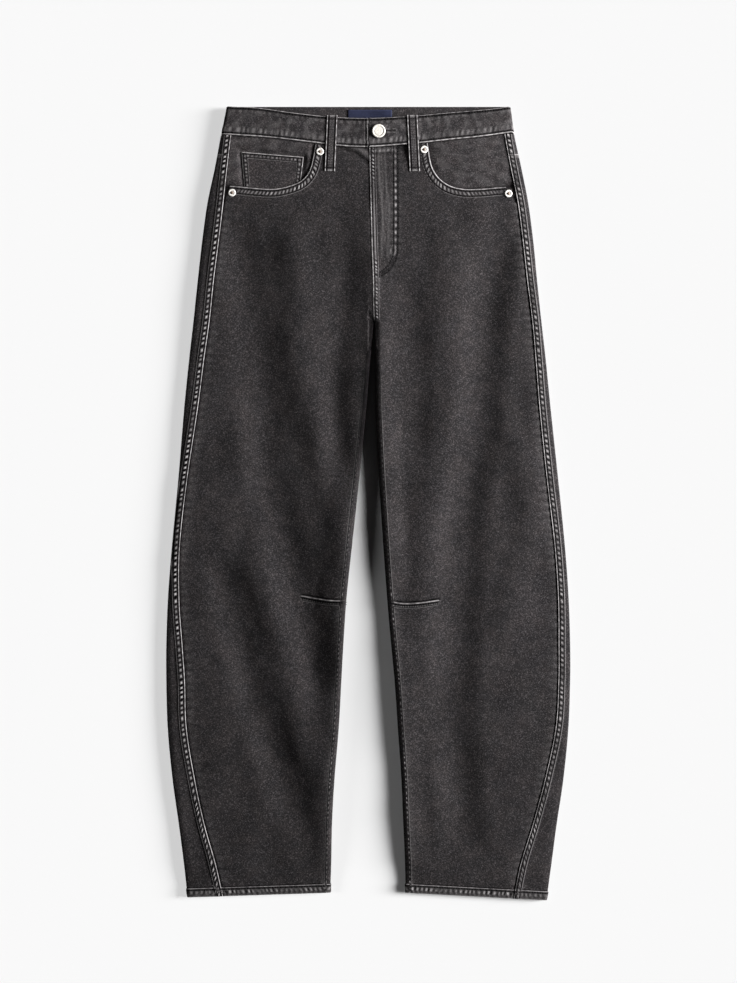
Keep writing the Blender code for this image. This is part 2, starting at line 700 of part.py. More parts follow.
def build_yoke(side, material):
    """The yoke, from its seam up to the waistband, round the side onto the front."""
    top = band_bottom(outseam[side](460.0) * TOWARDS[side]) - SEAM_GAP
    edge = Edge(side, "outer", top)
    over = [(outseam_on_back(side, top), top)]
    stops = [edge.start + edge.length * share for share in FOLD_SHARES]
    low = BACK_BAND_BOTTOM - SEAM_GAP
    over += [(out, top + (low - top) * index / (len(stops) - 1)) for index, out in enumerate(stops)]
    flat = along([(edge.start, low), (centre_back(low) * TOWARDS[side], low)], BACK_COLUMN_STEP)
    outline = yoke_line(side) + flat[::-1] + over[::-1][1:]
    rows = [TOP_ROWS_FROM + TOP_ROW_STEP * index for index in range(1, 4)] + [YOKE_ROW_Y]
    fell_lines, fell_patch = fell_guides(side, [STRIP_YOKE_Y + 1.0, YOKE_ROW_Y, top + 4.0])
    guides = fold_columns(side, [YOKE_ROW_Y]) + fell_lines
    cut("yoke_" + side, outline, back_place(side), DENIM, material, guides, rows, BACK_COLUMN_STEP,
        [(fell_patch, FELL_RISE)])


def build_back_pocket(side, material):
    """A plain patch pocket whose outer face lies on the surface."""
    def place(out, y, deep):
        return out * TOWARDS[side], y, deep
    cut("back_pocket_" + side, BACK_POCKET, place, DENIM, material)


def build_facing(side, material):
    """The cloth behind the front pocket's opening."""
    start = FACING_TOP_IN[side]
    end = outseam[side](FACING_TOP_Y) - FACING_EDGE_GAP
    band = front_band_seam(side, start, end)
    seam = [(outseam[side](y) - FACING_EDGE_GAP, y) for y in FACING_ROWS[::-1]]
    low = [(outseam[side](FACING_LOW_Y) - FACING_EDGE_GAP, FACING_LOW_Y), (FACING_LOW_X, FACING_LOW_Y),
           (start + FACING_CORNER_IN, FACING_ROWS[0])]
    place = top_place(side, drop=DENIM + COIN_CLOTH + 2 * LAYER_GAP)
    cut("pocket_facing_" + side, band + seam + low, place, FACING, material, rows=FACING_ROWS,
        column_step=FRONT_COLUMN_STEP)


def build_coin_pocket(material):
    outline = along([(x * TOWARDS["right"], y) for x, y in COIN_OUTLINE + COIN_OUTLINE[:1]])[:-1]
    cut("coin_pocket", outline, top_place("right", drop=DENIM + LAYER_GAP), COIN_CLOTH, material,
        rows=COIN_ROWS, column_step=FRONT_COLUMN_STEP)


Station = namedtuple("Station", "low high outward")
BAND_TURNS = 6
BAND_SIDE_Y = 462.0
BAND_SIDE_X = 177.4


def band_stations():
    """Stations along the waistband from its right end, round the back, to its left end.

    Each is the band's lower point, its upper point and the direction that its outer face looks in.
    """
    def front(x, level):
        low = Vector((x, band_bottom(x), level))
        high = Vector((x, band_top(x), level))
        return Station(low, high, Vector((0, 0, 1)))

    def back(x):
        low = Vector((x, BACK_BAND_BOTTOM, BAND_BACK_LEVEL))
        high = Vector((x, WAIST_TOP, BAND_BACK_LEVEL))
        return Station(low, high, Vector((0, 0, -1)))

    def side_fold(side, angle):
        half = (BAND_FRONT_LEVEL - BAND_BACK_LEVEL) / 2
        middle = (BAND_FRONT_LEVEL + BAND_BACK_LEVEL) / 2
        towards = TOWARDS[side]
        front_low = band_bottom((outer_edge[side](BAND_SIDE_Y) - FOLD_DEPTH) * towards)
        front_high = band_top(BAND_SIDE_X * towards)
        share = (1.0 - math.cos(angle)) / 2
        low_y = front_low + (BACK_BAND_BOTTOM - front_low) * share
        high_y = front_high + (WAIST_TOP - front_high) * share
        points = []
        for y in (low_y, high_y):
            x = outer_edge[side](y) - FOLD_DEPTH + FOLD_DEPTH * math.sin(angle)
            points.append(Vector((x * towards, y, middle + half * math.cos(angle))))
        outward = Vector((math.sin(angle) * towards, 0, math.cos(angle)))
        return Station(points[0], points[1], outward)

    angles = [math.pi * index / BAND_TURNS for index in range(BAND_TURNS + 1)]
    right_front = [UNDERLAP_END_X, 18.0, -3.0, -24.0, -47.0, -70.0, -95.0, -120.0, -145.0, -163.0]
    left_front = [163.0, 145.0, 120.0, 95.0, LAP_RAMP_TO, 56.0, LAP_RAMP_FROM, 20.0, LAP_END_X]
    stations = [front(x, BAND_FRONT_LEVEL) for x in right_front]
    stations += [side_fold("right", angle) for angle in angles]
    stations += [back(x) for x in (-160.0, -120.0, -80.0, -40.0, 0.0, 40.0, 80.0, 120.0, 160.0)]
    stations += [side_fold("left", angle) for angle in angles[::-1]]
    stations += [front(x, band_front_level(x)) for x in left_front]
    return stations


def build_waistband(material):
    """One folded band, with a rounded top edge, swept along its stations."""
    profile = [(0.0, 0.0), (0.06, 0.0), (0.94, 0.0), (1.0, 0.3), (1.0, 0.7), (0.94, 1.0), (0.06, 1.0),
               (0.0, 1.0)]
    builder = bmesh.new()
    rings = []
    for station in band_stations():
        ring = []
        for share, deep in profile:
            point = station.low.lerp(station.high, share) - station.outward * BAND_CLOTH * deep
            ring.append(builder.verts.new(point * MM))
        rings.append(ring)
    for before, after in zip(rings, rings[1:]):
        for index in range(len(profile)):
            following = (index + 1) % len(profile)
            builder.faces.new((before[index], before[following], after[following], after[index]))
    builder.faces.new(rings[0])
    builder.faces.new(rings[-1])
    finish("waistband", builder, material)


def build_front_loop(side, material):
    """A belt loop from the waistband's top edge down onto the front panel."""
    top_x, bottom_x = FRONT_LOOPS[side]
    half = LOOP_WIDTH / 2
    outline = [(bottom_x - half, FRONT_LOOP_BOTTOM_Y), (bottom_x + half, FRONT_LOOP_BOTTOM_Y),
               (top_x + half, FRONT_LOOP_TOP_Y), (top_x - half, FRONT_LOOP_TOP_Y)]
    outline = along(outline + outline[:1], LOOP_WIDTH)[:-1]

    def place(x, y, deep):
        on_band = ease((y - 428.0) / 16.0)
        on_cloth = top_at(x, y)
        floor = on_cloth + max(band_front_level(x) - on_cloth, 0.0) * on_band
        return x, y, floor + SEAM_GAP + LOOP_CLOTH - deep
    cut("loop_front_" + side, outline, place, LOOP_CLOTH, material)


def build_back_loop(name, middle, material):
    """A belt loop on the back of the waistband, lying on the surface."""
    half = LOOP_WIDTH / 2
    outline = [(middle - half, BACK_LOOP_BOTTOM_Y), (middle + half, BACK_LOOP_BOTTOM_Y),
               (middle + half, BACK_LOOP_TOP_Y), (middle - half, BACK_LOOP_TOP_Y)]

    def place(x, y, deep):
        return x, y, deep
    cut("loop_back_" + name, outline, place, BACK_LOOP_CLOTH, material)


def build_label(material):
    outline = [(LABEL_LEFT_X, LABEL_BOTTOM_Y), (LABEL_RIGHT_X, LABEL_BOTTOM_Y),
               (LABEL_RIGHT_X, LABEL_TOP_Y), (LABEL_LEFT_X, LABEL_TOP_Y)]
    floor = BAND_BACK_LEVEL + BAND_CLOTH + SEAM_GAP

    def place(x, y, deep):
        return x, y, floor + LABEL_CLOTH - deep
    cut("waist_label", outline, place, LABEL_CLOTH, material)


def turn_profile(name, profile, centre, floor, material):
    """Turns a profile of radius and height, from the middle's underside to the middle's top."""
    builder = bmesh.new()
    corners = [builder.verts.new((radius * MM, 0.0, height * MM)) for radius, height in profile]
    edges = [builder.edges.new(pair) for pair in zip(corners, corners[1:])]
    bmesh.ops.spin(builder, geom=corners + edges, cent=(0, 0, 0), axis=(0, 0, 1), angle=2 * math.pi,
                   steps=ROUND_STEPS, use_merge=True)
    bmesh.ops.remove_doubles(builder, verts=builder.verts, dist=0.00001)
    bmesh.ops.translate(builder, verts=builder.verts, vec=Vector((centre[0], centre[1], floor)) * MM)
    part = finish(name, builder, material)
    part.data.shade_smooth()
    part.data.set_sharp_from_angle(angle=math.radians(40))


def build_button(material):
    """A jeans button: a rolled rim round a dished face with a raised middle."""
    radius = BUTTON_RADIUS
    height = BUTTON_HEIGHT
    profile = [(0.0, 0.0), (radius - 1.4, 0.0), (radius - 0.3, 0.9), (radius, 1.7), (radius - 0.5, 2.7),
               (radius - 1.5, height), (radius - 2.5, height - 0.3), (radius - 3.1, height - 0.9),
               (radius - 5.0, height - 1.0), (radius - 5.6, height - 0.5), (0.0, height - 0.4)]
    turn_profile("waist_button", profile, BUTTON_CENTRE, BAND_LAP_LEVEL + SEAM_GAP, material)


def build_rivets(material):
    """Rivets at the pocket corners: a flat rim round a raised nub."""
    radius = RIVET_RADIUS
    profile = [(0.0, 0.0), (radius - 0.3, 0.0), (radius, 0.35), (radius - 0.5, 0.85), (radius - 1.6, 1.0),
               (radius - 2.3, 0.75), (1.5, 0.8), (1.2, 1.6), (0.6, RIVET_HEIGHT), (0.0, RIVET_HEIGHT)]
    for name, centre in RIVETS.items():
        floor = top_at(centre[0], centre[1] + RIVET_RADIUS) + POCKET_BAND_RISE + SEAM_GAP
        turn_profile(name, profile, centre, floor, material)


def make_material(name, colour, roughness, metallic):
    material = bpy.data.materials.new(name)
    material.use_nodes = True
    shader = material.node_tree.nodes["Principled BSDF"]
    shader.inputs["Base Color"].default_value = (*colour, 1.0)
    shader.inputs["Roughness"].default_value = roughness
    shader.inputs["Metallic"].default_value = metallic
    material.diffuse_color = (*colour, 1.0)
    return material


def main():
    for old in list(bpy.data.objects):
        bpy.data.objects.remove(old, do_unlink=True)

    denim = make_material("washed black denim", (0.040, 0.035, 0.037), 0.9, 0.0)
    label_cloth = make_material("navy label", (0.012, 0.018, 0.050), 0.75, 0.0)
    button_metal = make_material("pale button metal", (0.72, 0.70, 0.66), 0.32, 1.0)
    rivet_metal = make_material("pale rivet metal", (0.66, 0.63, 0.58), 0.36, 1.0)

    for side in SIDES:
        build_front(side, denim)
        build_back(side, denim)
        build_yoke(side, denim)
        build_back_pocket(side, denim)
        build_facing(side, denim)
        build_front_loop(side, denim)
    build_coin_pocket(denim)
    build_waistband(denim)
    for name, middle in BACK_LOOPS.items():
        build_back_loop(name, middle, denim)
    build_label(label_cloth)
    build_button(button_metal)
    build_rivets(rivet_metal)


main()
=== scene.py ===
import math
from collections import namedtuple

import bmesh
import bpy
import numpy as np
from mathutils import Matrix, Vector


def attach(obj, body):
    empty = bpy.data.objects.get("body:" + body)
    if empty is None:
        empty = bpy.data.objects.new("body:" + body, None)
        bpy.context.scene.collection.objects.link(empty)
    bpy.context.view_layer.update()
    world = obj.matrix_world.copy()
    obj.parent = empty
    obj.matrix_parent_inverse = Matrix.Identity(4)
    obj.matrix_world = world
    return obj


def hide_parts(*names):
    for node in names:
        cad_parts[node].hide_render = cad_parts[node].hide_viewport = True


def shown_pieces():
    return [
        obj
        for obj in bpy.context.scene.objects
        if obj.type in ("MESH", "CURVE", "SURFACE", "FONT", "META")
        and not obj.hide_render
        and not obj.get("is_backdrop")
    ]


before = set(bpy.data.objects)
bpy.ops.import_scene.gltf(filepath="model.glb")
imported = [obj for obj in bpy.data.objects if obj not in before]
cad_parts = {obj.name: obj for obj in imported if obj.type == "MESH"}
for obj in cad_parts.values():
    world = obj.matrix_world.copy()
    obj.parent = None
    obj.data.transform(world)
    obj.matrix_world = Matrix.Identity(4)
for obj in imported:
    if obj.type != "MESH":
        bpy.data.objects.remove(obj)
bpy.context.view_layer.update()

MM = 0.001

# Cloth
DENIM = 1.2
FACING = 1.0
COIN_CLOTH = 0.9
LOOP_CLOTH = 0.85
BACK_LOOP_CLOTH = 1.5
BAND_CLOTH = 2.0
LABEL_CLOTH = 0.6
SEAM_GAP = 0.3
LAYER_GAP = 0.25
FOLD_DEPTH = 4.0
CROTCH_FOLD_DEPTH = 1.6
CROTCH_FADE = 45.0

# Seams
FELL_WIDTH = 10.0
FELL_RISE = 0.9
HEM_DEPTH = 11.0
HEM_RISE = 0.9
POCKET_BAND = 10.0
POCKET_BAND_RISE = 0.5
FLY_RISE = 0.8
DART_RISE = 1.0
BEAD_PITCH = 6.7
HEM_PITCH = 6.0
LADDER_PITCH = 4.6
FLY_CURVE_PITCH = 8.6

# Stitch rows, by their distance from the sewn edge
OUTSEAM_ROWS = (2.4, 7.2)
OUTSEAM_SUNK_ROWS = (2.1, 7.2)
POCKET_ROWS = (2.5, POCKET_BAND - 0.8)
FLY_ROWS = (2.7, 6.8)
FLY_CURVE_ROW = 2.2
HEM_ROW = 2.2
INSEAM_ROW = 6.8
BACK_ROWS = (2.1, 7.2)
BACK_POCKET_ROWS = (2.2, 8.2)
COIN_ROWS = (2.0, 6.4)
BAND_ROW = 2.5
LOOP_ROW = 2.9

# How worn the seams are on each leg, with painted highlight where the light falls less on them, and the
# seeds of their unevenness
OUTSEAM_BRIGHT = {"right": 1.6, "left": 0.85}
OUTSEAM_EDGE = 0.85
POCKET_BRIGHT = {"right": 1.0, "left": 0.6}
OUTSEAM_SEED = {"right": 11, "left": 17}
HEM_SEED = {"right": 23, "left": 29}
INSEAM_SEED = {"right": 31, "left": 37}
POCKET_SEED = {"right": 41, "left": 43}

# Heights along the garment
CROTCH_Y = 227.0
CROTCH_X = 7.5
WAIST_TOP = 496.0
BACK_BAND_BOTTOM = 460.0
HEM_INNER_Y = -486.8
YOKE_CENTRE_Y = 382.0
YOKE_SIDE_Y = 437.5
STRIP_YOKE_Y = 434.5

SIDES = ("right", "left")
TOWARDS = {"right": -1.0, "left": 1.0}
HEM_OUTER_Y = {"right": -492.6, "left": -496.3}

Width = namedtuple("Width", "y right_outer right_seam right_inner left_inner left_seam left_outer")
WIDTHS = [
    Width(-495, 226.0, 181.0, 48.0, 46.5, 180.5, 223.0),
    Width(-450, 231.0, 191.3, 46.5, 45.6, 189.7, 229.0),
    Width(-400, 237.5, 205.2, 45.5, 43.3, 205.0, 235.7),
    Width(-345, 245.2, 217.0, 42.4, 41.0, 219.8, 243.9),
    Width(-280, 251.3, 227.4, 37.0, 36.5, 233.3, 250.2),
    Width(-222, 253.0, 229.4, 33.8, 32.5, 236.8, 252.3),
    Width(-180, 253.0, 232.3, 31.5, 28.5, 237.0, 252.4),
    Width(-120, 251.0, 236.4, 27.5, 23.3, 236.4, 250.5),
    Width(-55, 246.0, 235.8, 20.7, 18.5, 232.2, 245.9),
    Width(30, 238.0, 226.5, 11.5, 13.0, 222.3, 237.4),
    Width(120, 230.5, 213.0, 2.5, 8.7, 213.0, 227.8),
    Width(180, 224.5, 205.3, -2.5, 8.0, 208.3, 221.8),
    Width(228, 219.0, 198.5, -7.3, 7.7, 204.0, 216.3),
    Width(280, 213.5, 193.0, -7.3, 7.7, 197.5, 210.8),
    Width(325, 208.5, 187.3, -7.3, 7.7, 192.5, 206.5),
    Width(375, 201.5, 181.2, -7.3, 7.7, 186.0, 199.8),
    Width(420, 192.0, 176.3, -7.3, 7.7, 177.0, 191.0),
    Width(460, 184.5, 171.5, -7.3, 7.7, 169.5, 182.3),
    Width(496, 177.4, 166.0, -7.3, 7.7, 164.0, 177.5),
]

Level = namedtuple("Level", "y top underside")
LEVELS = [
    Level(-500, 5.0, 0.0),
    Level(180, 5.3, 0.0),
    Level(255, 6.2, 0.0),
    Level(330, 6.2, 0.0),
    Level(385, 7.3, 1.9),
    Level(450, 8.1, 1.9),
    Level(500, 8.1, 1.9),
]
CROTCH_DIP = 2.2
CROTCH_DIP_REACH = 55.0

# Where the legs' tops lie free of the pockets' layers above them and of the hems below
FREE_TOP_Y = 425.0
FREE_LOW_Y = -492.0

# The soft unevenness of the cloth, longer along the leg by the stretch
Bump = namedtuple("Bump", "size seed stretch height")
SOFT_BUMPS = [Bump(26.0, 3, 1.7, 0.35), Bump(11.0, 5, 1.4, 0.12)]

# The waistband
BAND_BACK_LEVEL = 1.8
BAND_FRONT_LEVEL = 8.9
BAND_UNDERLAP_LEVEL = 8.2
BAND_STEP_UP = 1.8
BAND_LAP_LEVEL = 10.7
SHADE_LOW_Y = 10.0
SHADE_FADE = 80.0
BAND_SIDE_Y = 462.0
BAND_FLAT_HALF = 163.0
WAIST_HALF = 177.4
LAP_END_X = -2.6
UNDERLAP_END_X = 36.0
LAP_RAMP_FROM = 40.0
LAP_RAMP_TO = 72.0

BAND_TOP = [(-177.4, 496.0), (-140, 494.4), (-100, 488.9), (-53, 483.6), (-4, 481.2), (47, 483.4),
            (104, 488.6), (140, 491.6), (177.5, 495.6)]
BAND_BOTTOM = [(-184.5, 461.2), (-124, 457), (-68, 450.6), (-38, 446.8), (-3, 445), (47, 448.4),
               (104, 454.5), (139, 458), (182.5, 464.0)]
FLY_EDGE = [(6.9, 217), (5.3, 250), (5.3, 273), (3.6, 323), (2.1, 377), (0.4, 446)]
FLY_SEAM = [(33.8, 449), (33.8, 317), (31.5, 305), (24.0, 293), (14.0, 286), (5.0, 283)]
FLY_TACKS = [(31.0, 316.0), (9.5, 286.0)]
FLY_PATCH_END = [(-20.0, 283.0), (-20.0, 460.0)]
POCKET_EDGE = {
    "right": [(-177.6, 397.0), (-165.5, 396.4), (-140, 394.0), (-117.6, 393.1), (-98.5, 397.1),
              (-84.1, 403.5), (-74.6, 414.8), (-69.8, 430.6), (-66.4, 450.4)],
    "left": [(181.2, 396.2), (160.6, 394.9), (139.8, 393.1), (118.8, 393.1), (101.1, 397.5),
             (87.1, 408.0), (78.4, 423.8), (74.2, 451.2)],
}
KNEE_DARTS = {
    "right": [(-83.8, -116.6), (-65.6, -119.8), (-48.9, -122.0), (-28.0, -122.4)],
    "left": [(24.5, -121.8), (31.0, -124.0), (45.0, -126.0), (63.1, -125.1), (86.9, -122.0)],
}

# Long soft folds: a line down the leg, its height above the plain form, and how wide it is to each side
Fold = namedtuple("Fold", "height left right line")
FOLDS = [
    Fold(3.4, 36, 14, [(-1, 372), (0, 330), (4, 280), (6, 245)]),
    Fold(-4.6, 40, 46, [(-160, 345), (-149, 254), (-143, 204), (-131, 104), (-118, 4), (-98, -80),
                        (-82, -160), (-68, -240)]),
    Fold(3.2, 34, 36, [(-96, 350), (-86, 254), (-83, 204), (-70, 124), (-58, 54), (-44, -20), (-36, -90)]),
    Fold(-1.8, 26, 26, [(-31, 330), (-36, 254), (-43, 180), (-45, 110), (-40, 50)]),
    Fold(-3.6, 34, 38, [(-186, -70), (-168, -146), (-155, -196), (-141, -246), (-126, -296), (-108, -346),
                        (-98, -400)]),
    Fold(3.0, 30, 34, [(-142, -70), (-118, -146), (-98, -196), (-88, -246), (-79, -296), (-62, -350)]),
    Fold(-4.4, 40, 38, [(160, 330), (151, 254), (145, 204), (138, 104), (131, 54), (121, 4), (114, -96),
                        (111, -170), (106, -250), (112, -330), (120, -400), (118, -450)]),
    Fold(2.4, 34, 34, [(100, 340), (101, 254), (103, 180), (95, 104), (84, 54), (72, -20), (66, -110),
                       (60, -200), (58, -300)]),
    Fold(-2.2, 26, 26, [(50, 290), (57, 204), (58, 140), (55, 60)]),
    Fold(2.2, 30, 40, [(178, 120), (192, 54), (198, -46), (176, -120), (172, -190)]),
    Fold(1.8, 26, 24, [(14, 400), (13, 300), (14, 200), (20, 100), (26, 0), (34, -100)]),
]
FOLD_END_FADE = 60.0

# 1 makes a fold's side an ellipse, and less than 1 makes it squarer
FOLD_SHAPE = 0.7
CROWN = 1.3
CROWN_REACH = 7.0
INNER_SWELL = {"right": 5.2, "left": 4.2}
INNER_SWELL_REACH = {"right": 42.0, "left": 34.0}
OUTER_SWELL = {"right": 1.0, "left": 0.0}
OUTER_SWELL_REACH = 26.0

# The slanted crease on the right panel, from under the waistband to the fly's top
CREASE = [(-46.0, 451.0), (-30.0, 446.0), (-14.0, 439.0), (-2.0, 430.0)]

BACK_POCKET = [(40, 377), (166, 411), (170, 300), (110, 252), (46, 272)]
BACK_POCKET_RING = BACK_POCKET + BACK_POCKET[:1]
BACK_POCKET_ROOM = 2.0
BACK_POCKET_SLOPE = 10.0
BACK_POCKET_RISE = 1.5

LOOP_WIDTH = 14.0
FRONT_LOOPS = {"right": (-45.5, -48.6), "left": (54.3, 57.6)}
FRONT_LOOP_TOP_Y = 485.0
FRONT_LOOP_BOTTOM_Y = 414.8
BACK_LOOPS = {"right": -100.0, "left": 100.0, "centre": 1.0}
BACK_LOOP_TOP_Y = 495.0
BACK_LOOP_BOTTOM_Y = 428.0
COIN_OUTLINE = [(-159.1, 439.4), (-81.0, 433.0), (-86.4, 388.0), (-154.5, 384.0)]
FACING_TOP_IN = {"right": 59.0, "left": 67.0}
FACING_LOW_Y = 374.0
FACING_RAISE = 1.1
LABEL_LEFT_X = -25.3
LABEL_RIGHT_X = 29.4
LABEL_BOTTOM_Y = 466.0
LABEL_TOP_Y = 492.3
BUTTON_CENTRE = (12.6, 464.6)
BUTTONHOLE = [(12.6, 465.2), (33.0, 465.6)]
BUTTON_RADIUS = 8.5
BUTTON_HEIGHT = 3.2
BUTTON_SUNK = 0.8
RIVET_RADIUS = 4.75
RIVET_HEIGHT = 1.9
RIVETS = {
    "rivet_right_top": (-60.6, 439.5),
    "rivet_right_side": (-170.5, 388.0),
    "rivet_left_top": (69.5, 442.0),
    "rivet_left_side": (174.8, 387.0),
}


# Curves and soft steps, all of which read whole arrays
def curve(pairs):
    """A smooth curve through pairs of position and value."""
    at, value = np.array(sorted(pairs), float).T
    slope = np.empty_like(at)
    slope[1:-1] = (value[2:] - value[:-2]) / (at[2:] - at[:-2])
    slope[0] = (value[1] - value[0]) / (at[1] - at[0])
    slope[-1] = (value[-1] - value[-2]) / (at[-1] - at[-2])

    def read(position):
        position = np.clip(position, at[0], at[-1])
        index = np.clip(np.searchsorted(at, position, side="right") - 1, 0, len(at) - 2)
        span = at[index + 1] - at[index]
        part = (position - at[index]) / span
        rise = part * part * (3 - 2 * part)
        leave = part * (1 - part) ** 2 * span * slope[index]
        arrive = part * part * (part - 1) * span * slope[index + 1]
        return value[index] + (value[index + 1] - value[index]) * rise + leave + arrive

    return read


def straight(pairs):
    at, value = np.array(sorted(pairs), float).T
    return lambda position: np.interp(position, at, value)


def swap(line):
    return [(y, x) for x, y in line]


def joined(x, y):
    return np.stack([x, y], axis=1)


def ease(value):
    value = np.clip(value, 0.0, 1.0)
    return value * value * (3 - 2 * value)


def hump(distance, half):
    """1 on a line, falling softly to 0 at half its width."""
    return (1 + np.cos(np.pi * np.clip(distance / half, -1, 1))) / 2


def strip(distance, low, high, soft):
    """1 between two distances, with soft edges outside them."""
    return ease((distance - low + soft) / soft) * ease((high + soft - distance) / soft)


def smooth_line(points, step=1.5):
    """A dense line through a few points."""
    points = np.array(points, float)
    run = np.concatenate([[0], np.cumsum(np.hypot(*np.diff(points, axis=0).T))])
    fine = np.linspace(0, run[-1], max(2, int(run[-1] / step) + 1))
    return np.stack([curve(list(zip(run, points[:, axis])))(fine) for axis in (0, 1)], axis=1)


def to_line(x, y, line):
    """Each point's distance to a line, positive to the line's left, and how far along the line it is."""
    line = np.asarray(line, float)
    nearest = np.full(np.shape(x), np.inf)
    signed = np.zeros(np.shape(x))
    along = np.zeros(np.shape(x))
    travelled = 0.0
    for (start_x, start_y), (end_x, end_y) in zip(line, line[1:]):
        run_x, run_y = end_x - start_x, end_y - start_y
        length = math.hypot(run_x, run_y)
        part = np.clip(((x - start_x) * run_x + (y - start_y) * run_y) / length ** 2, 0, 1)
        gap = np.hypot(x - start_x - run_x * part, y - start_y - run_y * part)
        cross = run_x * (y - start_y) - run_y * (x - start_x)
        closer = gap < nearest
        nearest = np.where(closer, gap, nearest)
        signed = np.where(closer, np.where(cross >= 0, gap, -gap), signed)
        along = np.where(closer, travelled + length * part, along)
        travelled += length
    return signed, along


def inside(x, y, outline):
    crossings = np.zeros(np.shape(x), int)
    for (start_x, start_y), (end_x, end_y) in zip(outline, outline[1:] + outline[:1]):
        spans = (start_y > y) != (end_y > y)
        reach = start_x + (y - start_y) / (end_y - start_y if end_y != start_y else 1) * (end_x - start_x)
        crossings += (spans & (reach > x)).astype(int)
    return crossings % 2 == 1


def ripple(x, y, size, seed, stretch=1.0):
    """A smooth random field of about -1 to 1, with bumps of a size, longer along Y by the stretch."""
    draw = np.random.default_rng(seed)
    total = np.zeros(np.shape(x))
    waves = 14
    for _ in range(waves):
        angle = draw.uniform(0, 2 * np.pi)
        pace = 2 * np.pi / (size * draw.uniform(1.5, 3.2))
        phase = draw.uniform(0, 2 * np.pi)
        total += np.sin(x * pace * np.cos(angle) + y / stretch * pace * np.sin(angle) + phase)
    return total / math.sqrt(waves)


def waver(run, size, seed):
    """A ripple along a run."""
    return ripple(run, run * 0, size, seed)


def beyond(distance, reach):
    """1 until a distance turns positive, falling softly to 0 over a reach."""
    return hump(np.clip(distance, 0, 99), reach)


def between(place, stops):
    """A place counted in stretches, as a distance between the stops that part the stretches."""
    found = np.zeros(np.shape(place))
    for index, (start, end) in enumerate(zip(stops, stops[1:])):
        within = (place >= index) & (place <= index + 1)
        found = np.where(within, start + (end - start) * (place - index), found)
    return found


def even(count):
    return uneven((0, 1, 1 / count))


def as_drawn(first, second):
    return first, second


outer_edge, outseam, inner_edge = [
    {side: curve([(row.y, getattr(row, side + kind)) for row in WIDTHS]) for side in SIDES}
    for kind in ("_outer", "_seam", "_inner")
]
top_level = straight([(row.y, row.top) for row in LEVELS])
underside_level = straight([(row.y, row.underside) for row in LEVELS])
band_top = curve(BAND_TOP)
band_bottom = curve(BAND_BOTTOM)
centre_front = curve(swap(FLY_EDGE))
centre_back = straight([(CROTCH_Y, CROTCH_X), (BACK_BAND_BOTTOM, 0.0)])
yoke_seam = straight([(0.0, YOKE_CENTRE_Y), (190.0, YOKE_SIDE_Y)])
band_front_level = straight([(-200.0, BAND_FRONT_LEVEL), (LAP_END_X - 0.01, BAND_FRONT_LEVEL),
                             (LAP_END_X, BAND_LAP_LEVEL), (LAP_RAMP_FROM, BAND_LAP_LEVEL),
                             (LAP_RAMP_TO, BAND_FRONT_LEVEL), (200.0, BAND_FRONT_LEVEL)])
pocket_line = {side: smooth_line([(x * TOWARDS[side], y) for x, y in POCKET_EDGE[side]]) for side in SIDES}
fly_line = smooth_line(FLY_SEAM)


# The garment's form
def fold_height(x, y):
    total = np.zeros(np.shape(x))
    for fold in FOLDS:
        centre = curve(swap(fold.line))(y)
        gap = x - centre
        low, high = min(fold.line[0][1], fold.line[-1][1]), max(fold.line[0][1], fold.line[-1][1])
        ends = ease((y - low) / FOLD_END_FADE + 0.4) * ease((high - y) / FOLD_END_FADE + 0.4)
        within = (y > low - FOLD_END_FADE * 0.4) & (y < high + FOLD_END_FADE * 0.4)
        shape = hump(gap, np.where(gap < 0, fold.left, fold.right))
        total += np.where(within, fold.height * shape * ends, 0)
    return total


def by_side(x, table):
    return np.where(x < 0, table["right"], table["left"])


def leg_gaps(x, y):
    """How far each point is inside its leg's outer edge and inner edge."""
    outer_gap = np.where(x < 0, outer_edge["right"](y) + x, outer_edge["left"](y) - x)
    inner_gap = np.where(x < 0, -x - inner_edge["right"](y), x - inner_edge["left"](y))
    return outer_gap, inner_gap


def leg_swell(x, y):
    """How a leg's top swells between its sides and stands up beside them."""
    outer_gap, inner_gap = leg_gaps(x, y)
    hip_gap = np.where(y < CROTCH_Y, inner_gap, inner_gap + (y - CROTCH_Y))
    crown = CROWN * ease(outer_gap / CROWN_REACH) * np.where(x < 0, 1.0, ease(hip_gap / CROWN_REACH))
    inner = by_side(x, INNER_SWELL) * (1 - ease(inner_gap / by_side(x, INNER_SWELL_REACH)))
    inner = inner * ease((CROTCH_Y + 60.0 - y) / 90.0) * ease((y + 500.0) / 120.0)
    outer = by_side(x, OUTER_SWELL) * (1 - ease(outer_gap / OUTER_SWELL_REACH))
    return crown + inner + outer * ease((360.0 - y) / 120.0)


def top_form(x, y):
    crotch = np.hypot(x - CROTCH_X, y - CROTCH_Y + 10.0) / CROTCH_DIP_REACH
    free = ease((FREE_TOP_Y - y) / 60.0) * ease((y - FREE_LOW_Y) / 50.0)
    outer_gap, inner_gap = leg_gaps(x, y)
    edges = ease(outer_gap / 16.0) * np.where(y < CROTCH_Y, ease(inner_gap / 10.0 + 0.3), 1.0)
    soft = sum(ripple(x, y, bump.size, bump.seed, bump.stretch) * bump.height for bump in SOFT_BUMPS)
    swell = leg_swell(x, y) + (fold_height(x, y) + soft) * edges
    return top_level(y) - CROTCH_DIP * (1.0 - ease(crotch)) * 0.8 + swell * free


def pocket_room(out, y):
    """How high the back panel lies above the surface, on and beside the pocket sewn under it."""
    gap, _ = to_line(out, y, BACK_POCKET_RING)
    away = np.abs(gap) - BACK_POCKET_ROOM
    slope = BACK_POCKET_RISE * np.clip(1.0 - away / BACK_POCKET_SLOPE, 0.0, 1.0)
    return np.where(inside(out, y, BACK_POCKET), BACK_POCKET_RISE, slope)


def inner_fold_depth(y):
    return CROTCH_FOLD_DEPTH + (FOLD_DEPTH - CROTCH_FOLD_DEPTH) * ease((CROTCH_Y - y) / CROTCH_FADE)


